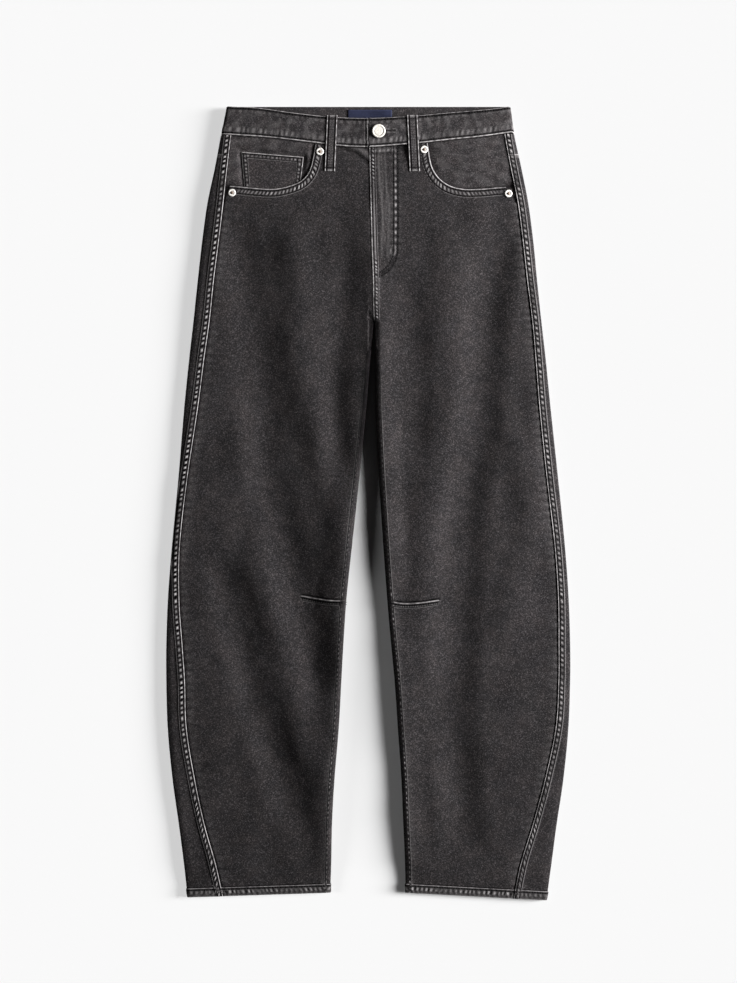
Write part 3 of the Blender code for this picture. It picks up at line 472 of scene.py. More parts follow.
Edge = namedtuple("Edge", "sign start depth half middle length")


def edge_of(side, which, y):
    """One rounded side of a leg at each height."""
    y = np.asarray(y, float)
    if which == "outer":
        sign, depth, extreme = 1.0, np.full_like(y, FOLD_DEPTH), outer_edge[side](y)
    else:
        sign, depth, extreme = -1.0, inner_fold_depth(y), inner_edge[side](y)
    start = extreme - sign * depth
    low = underside_level(y)
    high = top_form(start * TOWARDS[side], y)
    half = (high - low) / 2
    length = np.pi * np.sqrt((depth ** 2 + half ** 2) / 2)
    return Edge(sign, start, depth, half, (low + high) / 2, length)


def round_fold(edge, run, deep):
    """Out and height after a run round a fold from the underside, so deep below the outer face."""
    angle = np.pi * np.clip(run / edge.length, 0, 1)
    across, up = np.abs(np.sin(angle)) ** FOLD_SHAPE, -np.cos(angle)
    out = edge.start + edge.sign * (edge.depth - deep) * across
    return out, edge.middle + (edge.half - deep) * np.sign(up) * np.abs(up) ** FOLD_SHAPE


def lay_on_top(side, drop=0.0):
    def place(out, y, deep):
        x = out * TOWARDS[side]
        height = top_form(x, y) - drop - deep
        edge = edge_of(side, "inner", y)
        folded_out, folded_height = round_fold(edge, edge.length - (edge.start - out), deep)
        folded = (y < CROTCH_Y) & (out < edge.start)
        return np.where(folded, folded_out * TOWARDS[side], x), y, np.where(folded, folded_height, height)
    return place


def lay_on_back(side):
    """Lays a back pattern on the underside, round both sides of the leg and onto the top."""
    def place(out, y, deep):
        towards = TOWARDS[side]
        room = np.maximum(underside_level(y), pocket_room(out, y))
        x, height = out * towards, room + np.maximum(deep, 0.0)
        for which in ("outer", "inner"):
            edge = edge_of(side, which, y)
            run = (out - edge.start) * edge.sign
            used = (run > 0) & ((y < CROTCH_Y) | (which == "outer"))
            folded_out, folded_height = round_fold(edge, run, deep)
            past = (edge.start - edge.sign * (run - edge.length)) * towards
            on_top = run >= edge.length
            x = np.where(used, np.where(on_top, past, folded_out * towards), x)
            height = np.where(used, np.where(on_top, top_form(past, y) - deep, folded_height), height)
        return x, y, height
    return place


def on_strip(edge, out):
    """0 on the underside and 1 on the strip that a back panel folds onto the top."""
    return ease(((out - edge.start) / edge.length - 0.45) / 0.25)


def folded_back(edge, out):
    """How far from the middle a point of a back pattern lies, when the panel is folded round the side."""
    return np.where(out > edge.start + edge.length / 2, 2 * edge.start + edge.length - out, out)


def outseam_on_back(side, y):
    edge = edge_of(side, "outer", y)
    return edge.start + edge.length + (edge.start - outseam[side](y))


def inseam_run(side, y):
    edge = edge_of(side, "inner", y)
    return edge.length / 2 + (edge.length / 2 + 1.0) * ease((CROTCH_Y - y) / CROTCH_FADE)


def hem_y(side, out):
    low = inner_edge[side](HEM_INNER_Y)
    high = outer_edge[side](HEM_INNER_Y)
    return HEM_INNER_Y + (HEM_OUTER_Y[side] - HEM_INNER_Y) * np.clip((out - low) / (high - low), 0, 1)


def hem_shift(side, out, nominal):
    """How much lower than its nominal height a point near the slanting hem lies."""
    return (hem_y(side, out) - HEM_INNER_Y) * (1 - ease((nominal - HEM_INNER_Y - 14.0) / 60.0))


def pocket_y(side, out):
    """The height of a front pocket's edge at a distance from the middle."""
    line = pocket_line[side][np.argsort(pocket_line[side][:, 0])]
    return np.interp(out, line[:, 0], line[:, 1])


# Relief: what sewing and wear do to the cloth's face, and the shade painted on it
FIRST_ROW = 0.21
SECOND_ROW = 0.72
BEFORE_EDGE = -0.25
PAST_END = 1.15
FAR_OFF = 99.0
TITLES = ("worn", "ditch", "across", "along", "pull", "edge", "sewn")


class Marks:
    """What sewing, wear and painted shade do to each point of a piece. Across and along place it on its
    nearest seam.
    Across is 0 at the sewn edge and 1 at the seam's far end, with stitch rows at FIRST_ROW and SECOND_ROW.
    Along counts the puckers, whose strength is the pull. Edge is how worn the sewn edge is. Sewn is 1 on a
    seam and 0 on plain cloth."""

    def __init__(self, like):
        self.rise = np.zeros(np.shape(like))
        for title in TITLES:
            setattr(self, title, np.zeros(np.shape(like)))
        self.distance = np.full(np.shape(like), np.inf)

    def add(self, rise=0.0, worn=0.0, ditch=0.0):
        self.rise = self.rise + rise
        self.worn = np.maximum(self.worn, worn)
        self.ditch = np.maximum(self.ditch, ditch)

    def fade(self, share):
        self.rise, self.worn, self.ditch = self.rise * share, self.worn * share, self.ditch * share
        self.sewn = self.sewn * share

    def lie_flat(self, where):
        """Lets no relief stand out where the cloth lies on the surface."""
        self.rise = np.where(where, np.minimum(self.rise, 0.0), self.rise)

    def seam(self, gap, run, stops, pitch, pull, where=True, edge=0.8, shown=1.0):
        """Stops pair gaps in millimetres with places across the seam."""
        gaps, places = np.array(stops, float).T
        distance = np.abs(gap - np.interp(0.35, places, gaps))
        closer = where & (distance < self.distance)
        found = {
            "across": np.interp(gap, gaps, places),
            "along": run / pitch + 0.17 * waver(run, pitch * 1.5, 7),
            "pull": pull * np.clip(0.85 + 0.4 * waver(run, pitch * 1.3, 9), 0.25, 1.25),
            "edge": edge * np.clip(0.85 + 0.4 * waver(run, 3.4, 13), 0.25, 1.25),
            "sewn": shown * ease((gaps[-1] - gap) / 1.5) * ease((gap - gaps[0] + 1.5) / 1.5),
            "distance": distance,
        }
        for title, values in found.items():
            setattr(self, title, np.where(closer, values, getattr(self, title)))


def two_rows(first, second, end):
    rows = [(first, FIRST_ROW), (second, SECOND_ROW)]
    return [(-2.5, BEFORE_EDGE), (0.0, 0.0), *rows, (end, 1.0), (end + 1.5, PAST_END)]


def leaned(stops):
    """A seam whose worn line stands back from its edge, where the edge leans away from the light."""
    return [(-2.1, BEFORE_EDGE), (0.4, 0.0), (1.5, 0.14)] + stops[2:]


def thin_edge(stops):
    """The same seam with a narrower worn line along its edge."""
    return stops[:2] + [(0.75, 0.14)] + stops[2:]


def one_row(first, reach):
    return [(-2.5, BEFORE_EDGE), (0.0, 0.0), (first, FIRST_ROW), (first + 1.2, 0.32), (first + reach, 0.66)]


def bead_row(half):
    """For the distance to a line: its puckers in the middle and a stitch row on each side."""
    return [(0.0, 0.465), (half, SECOND_ROW), (half + 1.2, 0.80), (half + 2.4, 0.80)]


def teeth(run, pitch, seed, sharp=1.0):
    """Uneven humps of 0 to 1 along a run."""
    shifted = run + pitch * 0.22 * waver(run, pitch * 3.0, seed)
    wave = 0.5 + 0.5 * np.cos(2 * np.pi * shifted / pitch)
    strength = np.clip(0.8 + 0.25 * waver(run, pitch * 2.2, seed + 50), 0.35, 1.15)
    return wave ** sharp * strength


def mark_outseam(marks, gap, y, side):
    """The felled outseam. The gap is how far outwards of the seam a point is, along the cloth."""
    seed = OUTSEAM_SEED[side]
    low_leg = ease((-330.0 - y) / 60.0)
    bead = teeth(y + gap * (0.45 + 0.5 * low_leg), BEAD_PITCH, seed, 1.3)
    column = strip(gap, 3.0, 6.2, 0.8)
    raised = FELL_RISE * ease((gap + 0.1) / 0.9) * (1 - 0.9 * ease((gap - 8.4) / 1.6))
    marks.add(rise=raised + column * (0.5 * bead - 0.1))
    for row in OUTSEAM_SUNK_ROWS:
        marks.add(rise=-0.35 * hump(gap - row, 1.0))
    marks.add(rise=-0.6 * hump(gap + 0.9, 1.5))
    # Painted highlight: the worn seam is drawn brighter on the leg whose seam the light falls on less
    strength = OUTSEAM_BRIGHT[side] * np.clip(0.8 + 0.3 * waver(y, 30.0, seed + 5), 0.4, 1)
    slanted = y + gap * (0.25 + 1.1 * low_leg)
    shape = thin_edge if side == "right" else leaned
    rows = shape(two_rows(*OUTSEAM_ROWS, FELL_WIDTH))
    marks.seam(gap, slanted, rows, BEAD_PITCH, strength, True, OUTSEAM_EDGE)
    pull = teeth(y, BEAD_PITCH * 1.5, seed + 3) * beyond(-gap - 1.5, 14.0) * (gap < 0)
    marks.add(rise=0.28 * pull, worn=0.08 * pull)


def mark_hem(marks, gap, out, side):
    """The turned hem. The gap is the height above its lower edge."""
    seed = HEM_SEED[side]
    rope = teeth(out + gap * 0.25, HEM_PITCH, seed, 1.2)
    frayed = 0.6 + 0.4 * teeth(out, 3.3, seed + 1)
    body = strip(gap, 1.0, HEM_DEPTH - 1.6, 1.2)
    marks.add(rise=HEM_RISE * ease((HEM_DEPTH + 0.6 - gap) / 1.2) + body * 0.5 * (rope - 0.5))
    # Painted shade in the gaps between the hem's twists, with wear on the twists
    marks.add(worn=body * (0.05 + 0.14 * rope), ditch=body * 0.5 * (1 - rope))
    marks.add(worn=0.75 * hump(gap - 0.2, 1.6) * frayed, rise=-0.5 * hump(gap, 0.9))
    rows = thin_edge(one_row(HEM_ROW, 6.5))
    marks.seam(HEM_DEPTH - gap, out - gap * 0.25, rows, HEM_PITCH, 0.8, True, 0.55)
    above = beyond(gap - HEM_DEPTH - 1.0, 16.0) * (gap > HEM_DEPTH + 1.0)
    marks.add(rise=0.3 * above * (teeth(out, 8.5, seed + 3) - 0.4))


INSEAM_STOPS = [(-0.7, BEFORE_EDGE), (2.2, 0.0), (3.6, FIRST_ROW), (INSEAM_ROW, SECOND_ROW), (8.7, 1.0),
                (10.2, PAST_END)]
DART_STOPS = [(-4.0, BEFORE_EDGE), (-1.2, -0.02), (0.0, 0.04), (0.9, 0.12), (2.6, 0.23), (4.4, 0.45),
              (5.2, SECOND_ROW), (6.4, 0.9), (7.5, 1.1)]


def mark_inseam(marks, gap, y, side):
    """The inseam. The gap is how far outwards of the seam a point is."""
    marks.add(rise=0.3 * hump(gap - 3.0, 1.2))
    low = (0.35 + 0.65 * ease((-60.0 - y) / 120.0)) * ease((CROTCH_Y - 30.0 - y) / 60.0)
    slanted = y + gap * 0.25
    marks.seam(gap, slanted, INSEAM_STOPS, 6.2, 0.75 * low, gap < 50.0, 0.7, ease((180.0 - y) / 120.0))
    reach = beyond(gap - 5.0, 12.0) * (gap > 4.0)
    pull = teeth(slanted, 5.8, INSEAM_SEED[side])
    marks.add(rise=0.35 * reach * (pull - 0.35) * low, worn=0.12 * reach * pull * low)


def mark_pocket_edge(marks, gap, run, side):
    """The doubled edge of a front pocket. The gap is how far a point is from the edge, down the panel."""
    seed = POCKET_SEED[side]
    curved = hump(run - 88.0, 60.0)
    # Painted highlight: the worn pocket edge is drawn brighter on the leg whose edge the light falls on less
    strength = (0.40 + 0.85 * curved) * POCKET_BRIGHT[side]
    pull = teeth(run + gap * 0.8, LADDER_PITCH, seed, 1.2) * strength
    body = strip(gap, 3.2, POCKET_BAND - 1.4, 1.0)
    marks.add(rise=POCKET_BAND_RISE * ease((POCKET_BAND + 0.6 - gap) / 1.2) - 0.5 * hump(gap, 0.9))
    marks.add(rise=body * 0.55 * (pull - 0.3))
    rows = two_rows(*POCKET_ROWS, POCKET_BAND + 1.5)
    marks.seam(gap, run + gap * 0.5, rows, LADDER_PITCH, strength, gap < 50.0, 0.95)
    below = beyond(gap - POCKET_BAND, 12.0) * (gap > POCKET_BAND) * (gap < 40)
    marks.add(rise=0.4 * below * curved * (teeth(run, 10.0, seed + 1) - 0.3))


def mark_fly(marks, x, y):
    """The fly's folded edge at the centre front, its pad, its curved stitching and the seam below it."""
    gap, run = to_line(x, y, fly_line)
    far = np.abs(gap)
    pad = inside(x, y, FLY_SEAM + FLY_PATCH_END)
    above_crotch = y > CROTCH_Y
    marks.add(rise=FLY_RISE * np.where(pad, ease((far + 0.3) / 1.6), 0.0))

    # Its edge, with a ladder of puckers at both ends
    edge_gap = x - centre_front(y)
    top = ease((y - 395.0) / 20.0)
    ends = np.clip(top + ease((312.0 - y) / 14.0), 0, 1)
    marks.add(rise=-0.4 * hump(edge_gap, 0.8) * above_crotch)
    ladder = teeth(y + edge_gap * 0.8, 5.0, 61, 1.2)
    marks.add(rise=strip(edge_gap, 3.5, 5.9, 0.6) * 0.5 * ladder * (0.3 + 0.7 * ends) * above_crotch)
    ladder_pull = 0.05 + (0.55 + 0.3 * top) * ends
    marks.seam(edge_gap, y + edge_gap * 0.5, two_rows(*FLY_ROWS, 8.5), LADDER_PITCH, ladder_pull,
               y > CROTCH_Y - 6.0, 0.95, ease((y - CROTCH_Y + 2.0) / 10.0))
    marks.add(worn=0.34 * hump(edge_gap - 4.8, 1.3) * (1 - ends) * above_crotch)

    # The streaks that the zip under it wears into the pad
    wander = edge_gap + 0.9 * waver(y, 45.0, 63)
    streak = hump(wander - 13.8, 2.6) + 0.8 * hump(wander - 21.5, 2.2) + 0.5 * hump(wander - 17.6, 1.4)
    pressed = np.where(pad, ease((y - 300.0) / 15.0) * (0.75 + 0.25 * ripple(x, y, 9.0, 64, 5.0)), 0.0)
    marks.add(worn=0.22 * pressed * streak, rise=0.35 * pressed * streak)

    # The curved stitching, its dark lower bend and its two tacks
    bead = teeth(run, FLY_CURVE_PITCH, 67, 1.3)
    marks.add(rise=hump(gap, 2.4) * (0.45 * bead - 0.3))
    seen = 0.42 * ease((142.0 - run) / 10.0) * (0.55 + 0.45 * ease((run - 25.0) / 15.0))
    marks.seam(far, run, bead_row(FLY_CURVE_ROW), FLY_CURVE_PITCH, seen, edge_gap > 8.5)
    marks.add(ditch=0.75 * hump(far, 1.9) * ease((run - 138.0) / 6.0) * (edge_gap > 8.0))
    pull = beyond(far - 1.5, 10.0) * (far > 1.5)
    marks.add(rise=0.28 * pull * (bead - 0.4), worn=0.08 * pull * bead)
    for tack_x, tack_y in FLY_TACKS:
        ring = np.hypot((x - tack_x) / 0.6, y - tack_y)
        marks.add(worn=0.28 * hump(ring - 5.0, 1.8), ditch=hump(ring, 4.0), rise=0.4 * hump(ring - 4.0, 2.5))

    # The puckers under the waistband
    under_band = band_bottom(x) - y
    marks.add(worn=0.75 * hump(under_band - 5.2, 2.8) * teeth(x, 6.4, 69, 2.0) * np.where(pad, 1.0, 0.0))
    marks.add(ditch=0.6 * hump(under_band - 8.6, 2.0) * np.where(pad, 1.0, 0.0))


def mark_dart(marks, x, y, side):
    """The stitched knee dart: a worn fold between two lines of painted shade, with a stitch row below."""
    gap, run = to_line(x, y, smooth_line(KNEE_DARTS[side], 3.0))
    start, end = KNEE_DARTS[side][0][0], KNEE_DARTS[side][-1][0]
    reach = np.minimum(x - start, end - x)
    within = ease(reach / 2.0 + 1.0)
    near_dart = np.abs(gap) < 12.0
    marks.add(rise=DART_RISE * hump(gap - 0.2, 2.6) * within - 0.4 * hump(gap - 2.5, 1.4) * within)
    marks.seam(1.0 - gap, run, DART_STOPS, 2.9, 0.35, near_dart & (reach > -4.0), 0.8)
    # Painted shade along both feet of the dart's fold
    marks.add(ditch=within * (hump(gap - 2.4, 2.0) + hump(gap + 1.9, 1.8)))
    marks.sewn = np.where(near_dart, marks.sewn * within, marks.sewn)
    marks.add(rise=0.45 * hump(np.abs(gap) - 9.0, 7.0) * within * (teeth(run, 15.0, 73) - 0.2))


def front_marks(side):
    def read(out, y):
        marks = Marks(out)
        x = out * TOWARDS[side]
        mark_outseam(marks, out - outseam[side](y), y, side)
        mark_hem(marks, y - hem_y(side, out), out, side)
        mark_inseam(marks, np.where(y < CROTCH_Y - 4, out - inner_edge[side](y), FAR_OFF), y, side)
        gap, run = to_line(out, y, pocket_line[side])
        mark_pocket_edge(marks, np.where(out > 50.0, np.abs(gap), FAR_OFF), run, side)
        mark_dart(marks, x, y, side)
        if side == "left":
            mark_fly(marks, x, y)
        else:
            edge_gap = centre_front(y) - x
            # Painted shade beside the centre front, where the fly's edge overlaps
            marks.add(ditch=0.9 * hump(edge_gap, 2.8) * (y > CROTCH_Y), rise=-0.5 * hump(edge_gap, 1.5))
            # Painted shade on the inner edge near the crotch, where the other leg shades it
            shaded = beyond(out - inner_edge[side](y) - 3.0, 7.0)
            marks.add(ditch=0.8 * shaded * ease((y - SHADE_LOW_Y) / SHADE_FADE) * (y < CROTCH_Y + 3.0))
            # Painted shade in the slanted crease
            crease, _ = to_line(x, y, CREASE)
            marks.add(ditch=0.55 * hump(crease + 1.5, 5.0), worn=0.10 * hump(crease - 4.5, 6.0))
            marks.add(rise=0.6 * hump(crease - 3.5, 7.0) - 0.6 * hump(crease + 2.5, 6.0))
        # Painted shade under the waistband's edge
        under_band = band_bottom(x) - y
        marks.add(rise=-0.6 * hump(under_band, 2.0), ditch=0.9 * hump(under_band, 2.2))
        return marks
    return read


def back_marks(side):
    def read(out, y):
        marks = Marks(out)
        edge = edge_of(side, "outer", y)
        on_top = on_strip(edge, out)
        on_inner = (out < edge_of(side, "inner", y).start) & (y < CROTCH_Y)
        mark_outseam(marks, outseam_on_back(side, y) - out, y, side)
        marks.fade(on_top)
        mark_hem(marks, y - hem_y(side, folded_back(edge, out)), out, side)
        yoke_gap = STRIP_YOKE_Y - y
        marks.add(worn=0.4 * hump(yoke_gap - 1.2, 1.6) * on_top)
        marks.add(ditch=0.8 * hump(yoke_gap - 3.6, 1.4) * on_top)
        if side == "right":
            # Painted shade on the back panel's inner fold near the crotch
            marks.add(ditch=0.9 * ease((y - SHADE_LOW_Y) / SHADE_FADE) * on_inner)
        else:
            seat_gap = out - centre_back(y)
            on_seat = (y > CROTCH_Y + 4.0) & (seat_gap < 30.0)
            marks.seam(seat_gap, y, two_rows(*BACK_ROWS, 9.5), 6.0, 0.6, on_seat)
        marks.lie_flat((out <= edge.start) & ~on_inner)
        return marks
    return read


# Turning patterns into meshes
def mesh_of(builder, name):
    mesh = bpy.data.meshes.new(name)
    builder.to_mesh(mesh)
    builder.free()
    return mesh


def read_points(mesh):
    points = np.empty(len(mesh.vertices) * 3)
    mesh.vertices.foreach_get("co", points)
    return points.reshape(-1, 3)


def write_mark(mesh, title, values):
    layer = mesh.attributes.new(name=title, type="FLOAT", domain="POINT")
    layer.data.foreach_set("value", values.astype(np.float32))


def smooth_skin(mesh, angle):
    mesh.shade_smooth()
    mesh.set_sharp_from_angle(angle=math.radians(angle))


def store(name, mesh, material, replaced):
    piece = bpy.data.objects.new(name, mesh)
    bpy.context.collection.objects.link(piece)
    mesh.materials.append(material)
    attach(piece, "root")
    if replaced:
        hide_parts(replaced)
    return piece


def outward(mesh):
    """Turns a closed shell's faces outwards."""
    mesh.calc_loop_triangles()
    corners = np.empty(len(mesh.loop_triangles) * 3, np.int32)
    mesh.loop_triangles.foreach_get("vertices", corners)
    a, b, c = read_points(mesh)[corners].reshape(-1, 3, 3).transpose(1, 0, 2)
    if np.einsum("ij,ij->", a, np.cross(b, c)) < 0:
        mesh.flip_normals()


def lay_cloth(name, columns, rows, pattern, form, marks, thickness, material, replaced):
    """A grid on the flat pattern, given a second skin and laid on the form with its relief."""
    builder = bmesh.new()
    bmesh.ops.create_grid(builder, x_segments=len(columns) - 1, y_segments=len(rows) - 1, size=1.0)
    extruded = bmesh.ops.extrude_face_region(builder, geom=list(builder.faces))
    inner_skin = [item for item in extruded["geom"] if isinstance(item, bmesh.types.BMVert)]
    bmesh.ops.translate(builder, verts=inner_skin, vec=(0, 0, -0.1))
    bmesh.ops.recalc_face_normals(builder, faces=builder.faces)
    mesh = mesh_of(builder, name)

    points = read_points(mesh)
    column = np.rint((points[:, 0] + 1) / 2 * (len(columns) - 1)).astype(int)
    row = np.rint((points[:, 1] + 1) / 2 * (len(rows) - 1)).astype(int)
    inner = points[:, 2] < -0.05
    out, y = pattern(np.asarray(columns)[column], np.asarray(rows)[row])
    found = marks(out, y)
    x, y, z = form(out, y, np.where(inner, thickness, -found.rise))
    laid = np.stack([x, y, np.maximum(z, 0.0)], axis=1) * MM
    mesh.vertices.foreach_set("co", laid.ravel())
    for title in TITLES:
        values = getattr(found, title)
        if title in ("worn", "ditch"):
            values = np.clip(values, 0, 1)
        write_mark(mesh, title, np.where(inner & (title != "across"), 0.0, values))
    mesh.update()
    outward(mesh)
    smooth_skin(mesh, 55)
    return store(name, mesh, material, replaced)


def uneven(*stretches):
    """Places from the first stretch's start to the last one's end. Each stretch is start, end and step."""
    places = [stretches[0][0]]
    for start, end, step in stretches:
        count = max(1, int(round((end - start) / step)))
        places += list(start + (end - start) * np.arange(1, count + 1) / count)
    return np.array(places, float)


# The panels
PANEL_WIDTH = 180.0
TOP_PART_Y = 370.0
NOMINAL_TOP_Y = 450.0
BACK_TOP_PART_Y = 330.0


def from_crotch(nominal, below, above, reach):
    """One value below the crotch, and another one from a reach above it upwards."""
    join = ease((nominal - CROTCH_Y) / reach)
    return np.where(nominal < CROTCH_Y, below, below + (above - below) * join)


def up_to(top, nominal, start, end, below):
    """Nominal heights from a start to an end, stretched to reach a top. Below the start, other heights."""
    return np.where(nominal > start, start + (top - start) * ((nominal - start) / (end - start)), below)


def front_pattern(side):
    def read(share, nominal):
        low_y = np.minimum(nominal, CROTCH_Y)
        edge = edge_of(side, "inner", low_y)
        inseam = edge.start + inseam_run(side, low_y) - edge.length
        centre = centre_front(nominal) * TOWARDS[side]
        low = from_crotch(nominal, inseam, centre, 6.0) + SEAM_GAP / 2
        high = outseam[side](nominal) - SEAM_GAP / 2
        out = low + (high - low) * share
        band_y = band_bottom(out * TOWARDS[side]) - SEAM_GAP
        open_y = np.minimum(pocket_y(side, out), band_y)
        top = np.where(out < pocket_line[side][:, 0].min(), band_y, open_y) - SEAM_GAP / 2
        leg_y = nominal + hem_shift(side, out, nominal)
        return out, up_to(top, nominal, TOP_PART_Y, NOMINAL_TOP_Y, leg_y)
    return read


def make_front(side, material):
    if side == "left":
        columns = uneven((0, 10, 1.0), (10, 27, 2.2), (27, 38, 1.2), (38, 166, 2.6), (166, PANEL_WIDTH, 1.2))
    else:
        columns = uneven((0, 10, 1.0), (10, 166, 2.4), (166, PANEL_WIDTH, 1.2))
    rows = uneven((HEM_INNER_Y, HEM_INNER_Y + 15, 1.0), (HEM_INNER_Y + 15, -134, 2.2), (-134, -108, 1.2),
                  (-108, TOP_PART_Y, 2.2), (TOP_PART_Y, NOMINAL_TOP_Y, 1.6))
    piece = lay_cloth("denim_front_" + side, columns / PANEL_WIDTH, rows, front_pattern(side),
                      lay_on_top(side), front_marks(side), DENIM, material, "front_" + side)


def back_pattern(side):
    """Columns are places on five stretches: inseam fold, underside, outer fold, strip and felled seam."""
    def read(place, nominal):
        low_y = np.minimum(nominal, CROTCH_Y)
        inner = edge_of(side, "inner", low_y)
        outer = edge_of(side, "outer", nominal)
        inseam = inner.start - inseam_run(side, low_y)
        centre = centre_back(nominal) * TOWARDS[side]
        low = from_crotch(nominal, inseam, centre, 8.0) + SEAM_GAP / 2
        under = from_crotch(nominal, inner.start, centre + 6.0, 8.0)
        fold_end = outer.start + outer.length
        seam = outseam_on_back(side, nominal) - SEAM_GAP / 2
        fell = seam - np.minimum(11.0, 0.8 * (seam - fold_end))
        out = between(place, [low, under, outer.start, fold_end, fell, seam])
        flat_top = yoke_seam(np.abs(out)) - SEAM_GAP
        to_strip = ease((out - outer.start) / outer.length)
        top = flat_top + (STRIP_YOKE_Y - SEAM_GAP - flat_top) * to_strip
        leg_y = nominal + hem_shift(side, folded_back(outer, out), nominal)
        return out, up_to(top, nominal, BACK_TOP_PART_Y, STRIP_YOKE_Y, leg_y)
    return read


def make_back(side, material):
    columns = uneven((0, 1, 0.2), (1, 2, 1 / 20), (2, 3, 0.125), (3, 4, 0.125), (4, 5, 1 / 13))
    rows = uneven((HEM_INNER_Y, HEM_INNER_Y + 15, 1.1), (HEM_INNER_Y + 15, BACK_TOP_PART_Y, 2.0),
                  (BACK_TOP_PART_Y, STRIP_YOKE_Y, 2.0))
    piece = lay_cloth("denim_back_" + side, columns, rows, back_pattern(side), lay_on_back(side),
                      back_marks(side), DENIM, material, "back_" + side)


def yoke_pattern(side):
    """Columns are places on three stretches: underside, outer fold and strip."""
    def read(place, share):
        middle_y = np.full(np.shape(share), 448.0)
        outer = edge_of(side, "outer", middle_y)
        seam = outseam_on_back(side, middle_y) - SEAM_GAP / 2
        low = np.full(np.shape(share), 2.0 * TOWARDS[side])
        out = between(place, [low, outer.start, outer.start + outer.length, seam])
        to_strip = ease((out - outer.start) / outer.length)
        bottom = yoke_seam(np.abs(out)) * (1 - to_strip) + STRIP_YOKE_Y * to_strip
        strip_top = band_bottom(outseam[side](460.0) * TOWARDS[side]) - 2 * SEAM_GAP
        top = (BACK_BAND_BOTTOM - SEAM_GAP) * (1 - to_strip) + strip_top * to_strip
        y = bottom + (top - bottom) * share
        real_seam = outseam_on_back(side, y) - SEAM_GAP / 2
        return out + (real_seam - seam) * ease((place - 1.0) / 1.5), y
    return read


def yoke_marks(side):
    def read(out, y):
        marks = Marks(out)
        edge = edge_of(side, "outer", y)
        on_top = on_strip(edge, out)
        mark_outseam(marks, outseam_on_back(side, y) - out, y, side)
        marks.fade(on_top)
        marks.add(worn=0.6 * hump(y - STRIP_YOKE_Y - 1.0, 1.4) * on_top)
        over_seam = y - yoke_seam(np.abs(out))
        marks.seam(over_seam, out, two_rows(*BACK_ROWS, 9.0), 6.0, 0.6, out < edge.start - 4.0)
        marks.add(rise=-0.3 * sum(hump(over_seam - row, 1.0) for row in BACK_ROWS) * (1 - on_top))
        marks.lie_flat(out <= edge.start)
        return marks
    return read


def make_yoke(side, material):
    columns = uneven((0, 1, 1 / 24), (1, 2, 0.125), (2, 3, 1 / 14))
    piece = lay_cloth("denim_yoke_" + side, columns, even(22), yoke_pattern(side), lay_on_back(side),
                      yoke_marks(side), DENIM, material, "yoke_" + side)


def make_facing(side, material):
    start = FACING_TOP_IN[side]

    def pattern(share, part):
        low_y = FACING_LOW_Y + (1 - share) * 11.0
        top = band_bottom((start + (outseam[side](458.0) - start) * share) * TOWARDS[side]) - SEAM_GAP
        y = low_y + (top - low_y) * part
        out = start + (outseam[side](y) - 0.6 - start) * share
        return out, y

    def marks(out, y):
        found = Marks(out)
        gap, _ = to_line(out, y, pocket_line[side])
        # Painted shade along the pocket's edge and under the waistband, where they shade the facing
        found.add(ditch=0.75 * hump(np.abs(gap), 4.0), rise=0.15 * ripple(out, y, 14.0, 81))
        found.add(worn=0.045 * np.clip(0.4 + ripple(out, y, 9.0, 82, 0.6), 0, 1))
        found.add(ditch=0.9 * hump(band_bottom(out * TOWARDS[side]) - y, 2.4))
        return found

    def form(out, y, deep):
        gap, _ = to_line(out, y, pocket_line[side])
        is_open = (y > pocket_y(side, out)) & (out > pocket_line[side][:, 0].min())
        raised = FACING_RAISE * ease((np.abs(gap) - 1.5) / 6.0) * is_open
        under_coin = 0.0
        if side == "right":
            ring = [(-x, y) for x, y in COIN_OUTLINE]
            coin_gap, _ = to_line(out, y, ring + ring[:1])
            under_coin = np.where(inside(out, y, ring), 1.0, 1 - ease((np.abs(coin_gap) - 1.0) / 5.0))
        drop = DENIM + LAYER_GAP + (COIN_CLOTH + LAYER_GAP) * under_coin - raised * (1 - under_coin)
        x = out * TOWARDS[side]
        return x, y, top_form(x, y) - drop - deep

    piece = lay_cloth("facing_cloth_" + side, even(60), even(44), pattern, form, marks, FACING, material,
                      "pocket_facing_" + side)


def make_coin_pocket(material):
    left_top, right_top, right_low, left_low = [np.array(point) for point in COIN_OUTLINE]

    def pattern(share, part):
        share, part = share[:, None], part[:, None]
        low = left_low * (1 - share) + right_low * share
        high = left_top * (1 - share) + right_top * share
        point = low * (1 - part) + high * part
        return -point[:, 0], point[:, 1]

    def marks(out, y):
        found = Marks(out)
        ring = [tuple(left_low), tuple(left_top), tuple(right_top), tuple(right_low)]
        gap, run = to_line(-out, y, ring)
        gap = np.abs(gap)
        found.add(rise=-0.4 * hump(gap, 0.9) + 0.3 * strip(gap, 2.8, 6.6, 0.7) * teeth(run, 4.4, 91, 1.2))
        found.seam(gap, run, thin_edge(two_rows(*COIN_ROWS, 8.0)), 5.0, 0.42, True, 1.1)
        return found

    form = lay_on_top("right", DENIM + LAYER_GAP)
    piece = lay_cloth("coin_pocket_cloth", even(64), even(44), pattern, form, marks, COIN_CLOTH, material,
                      "coin_pocket")


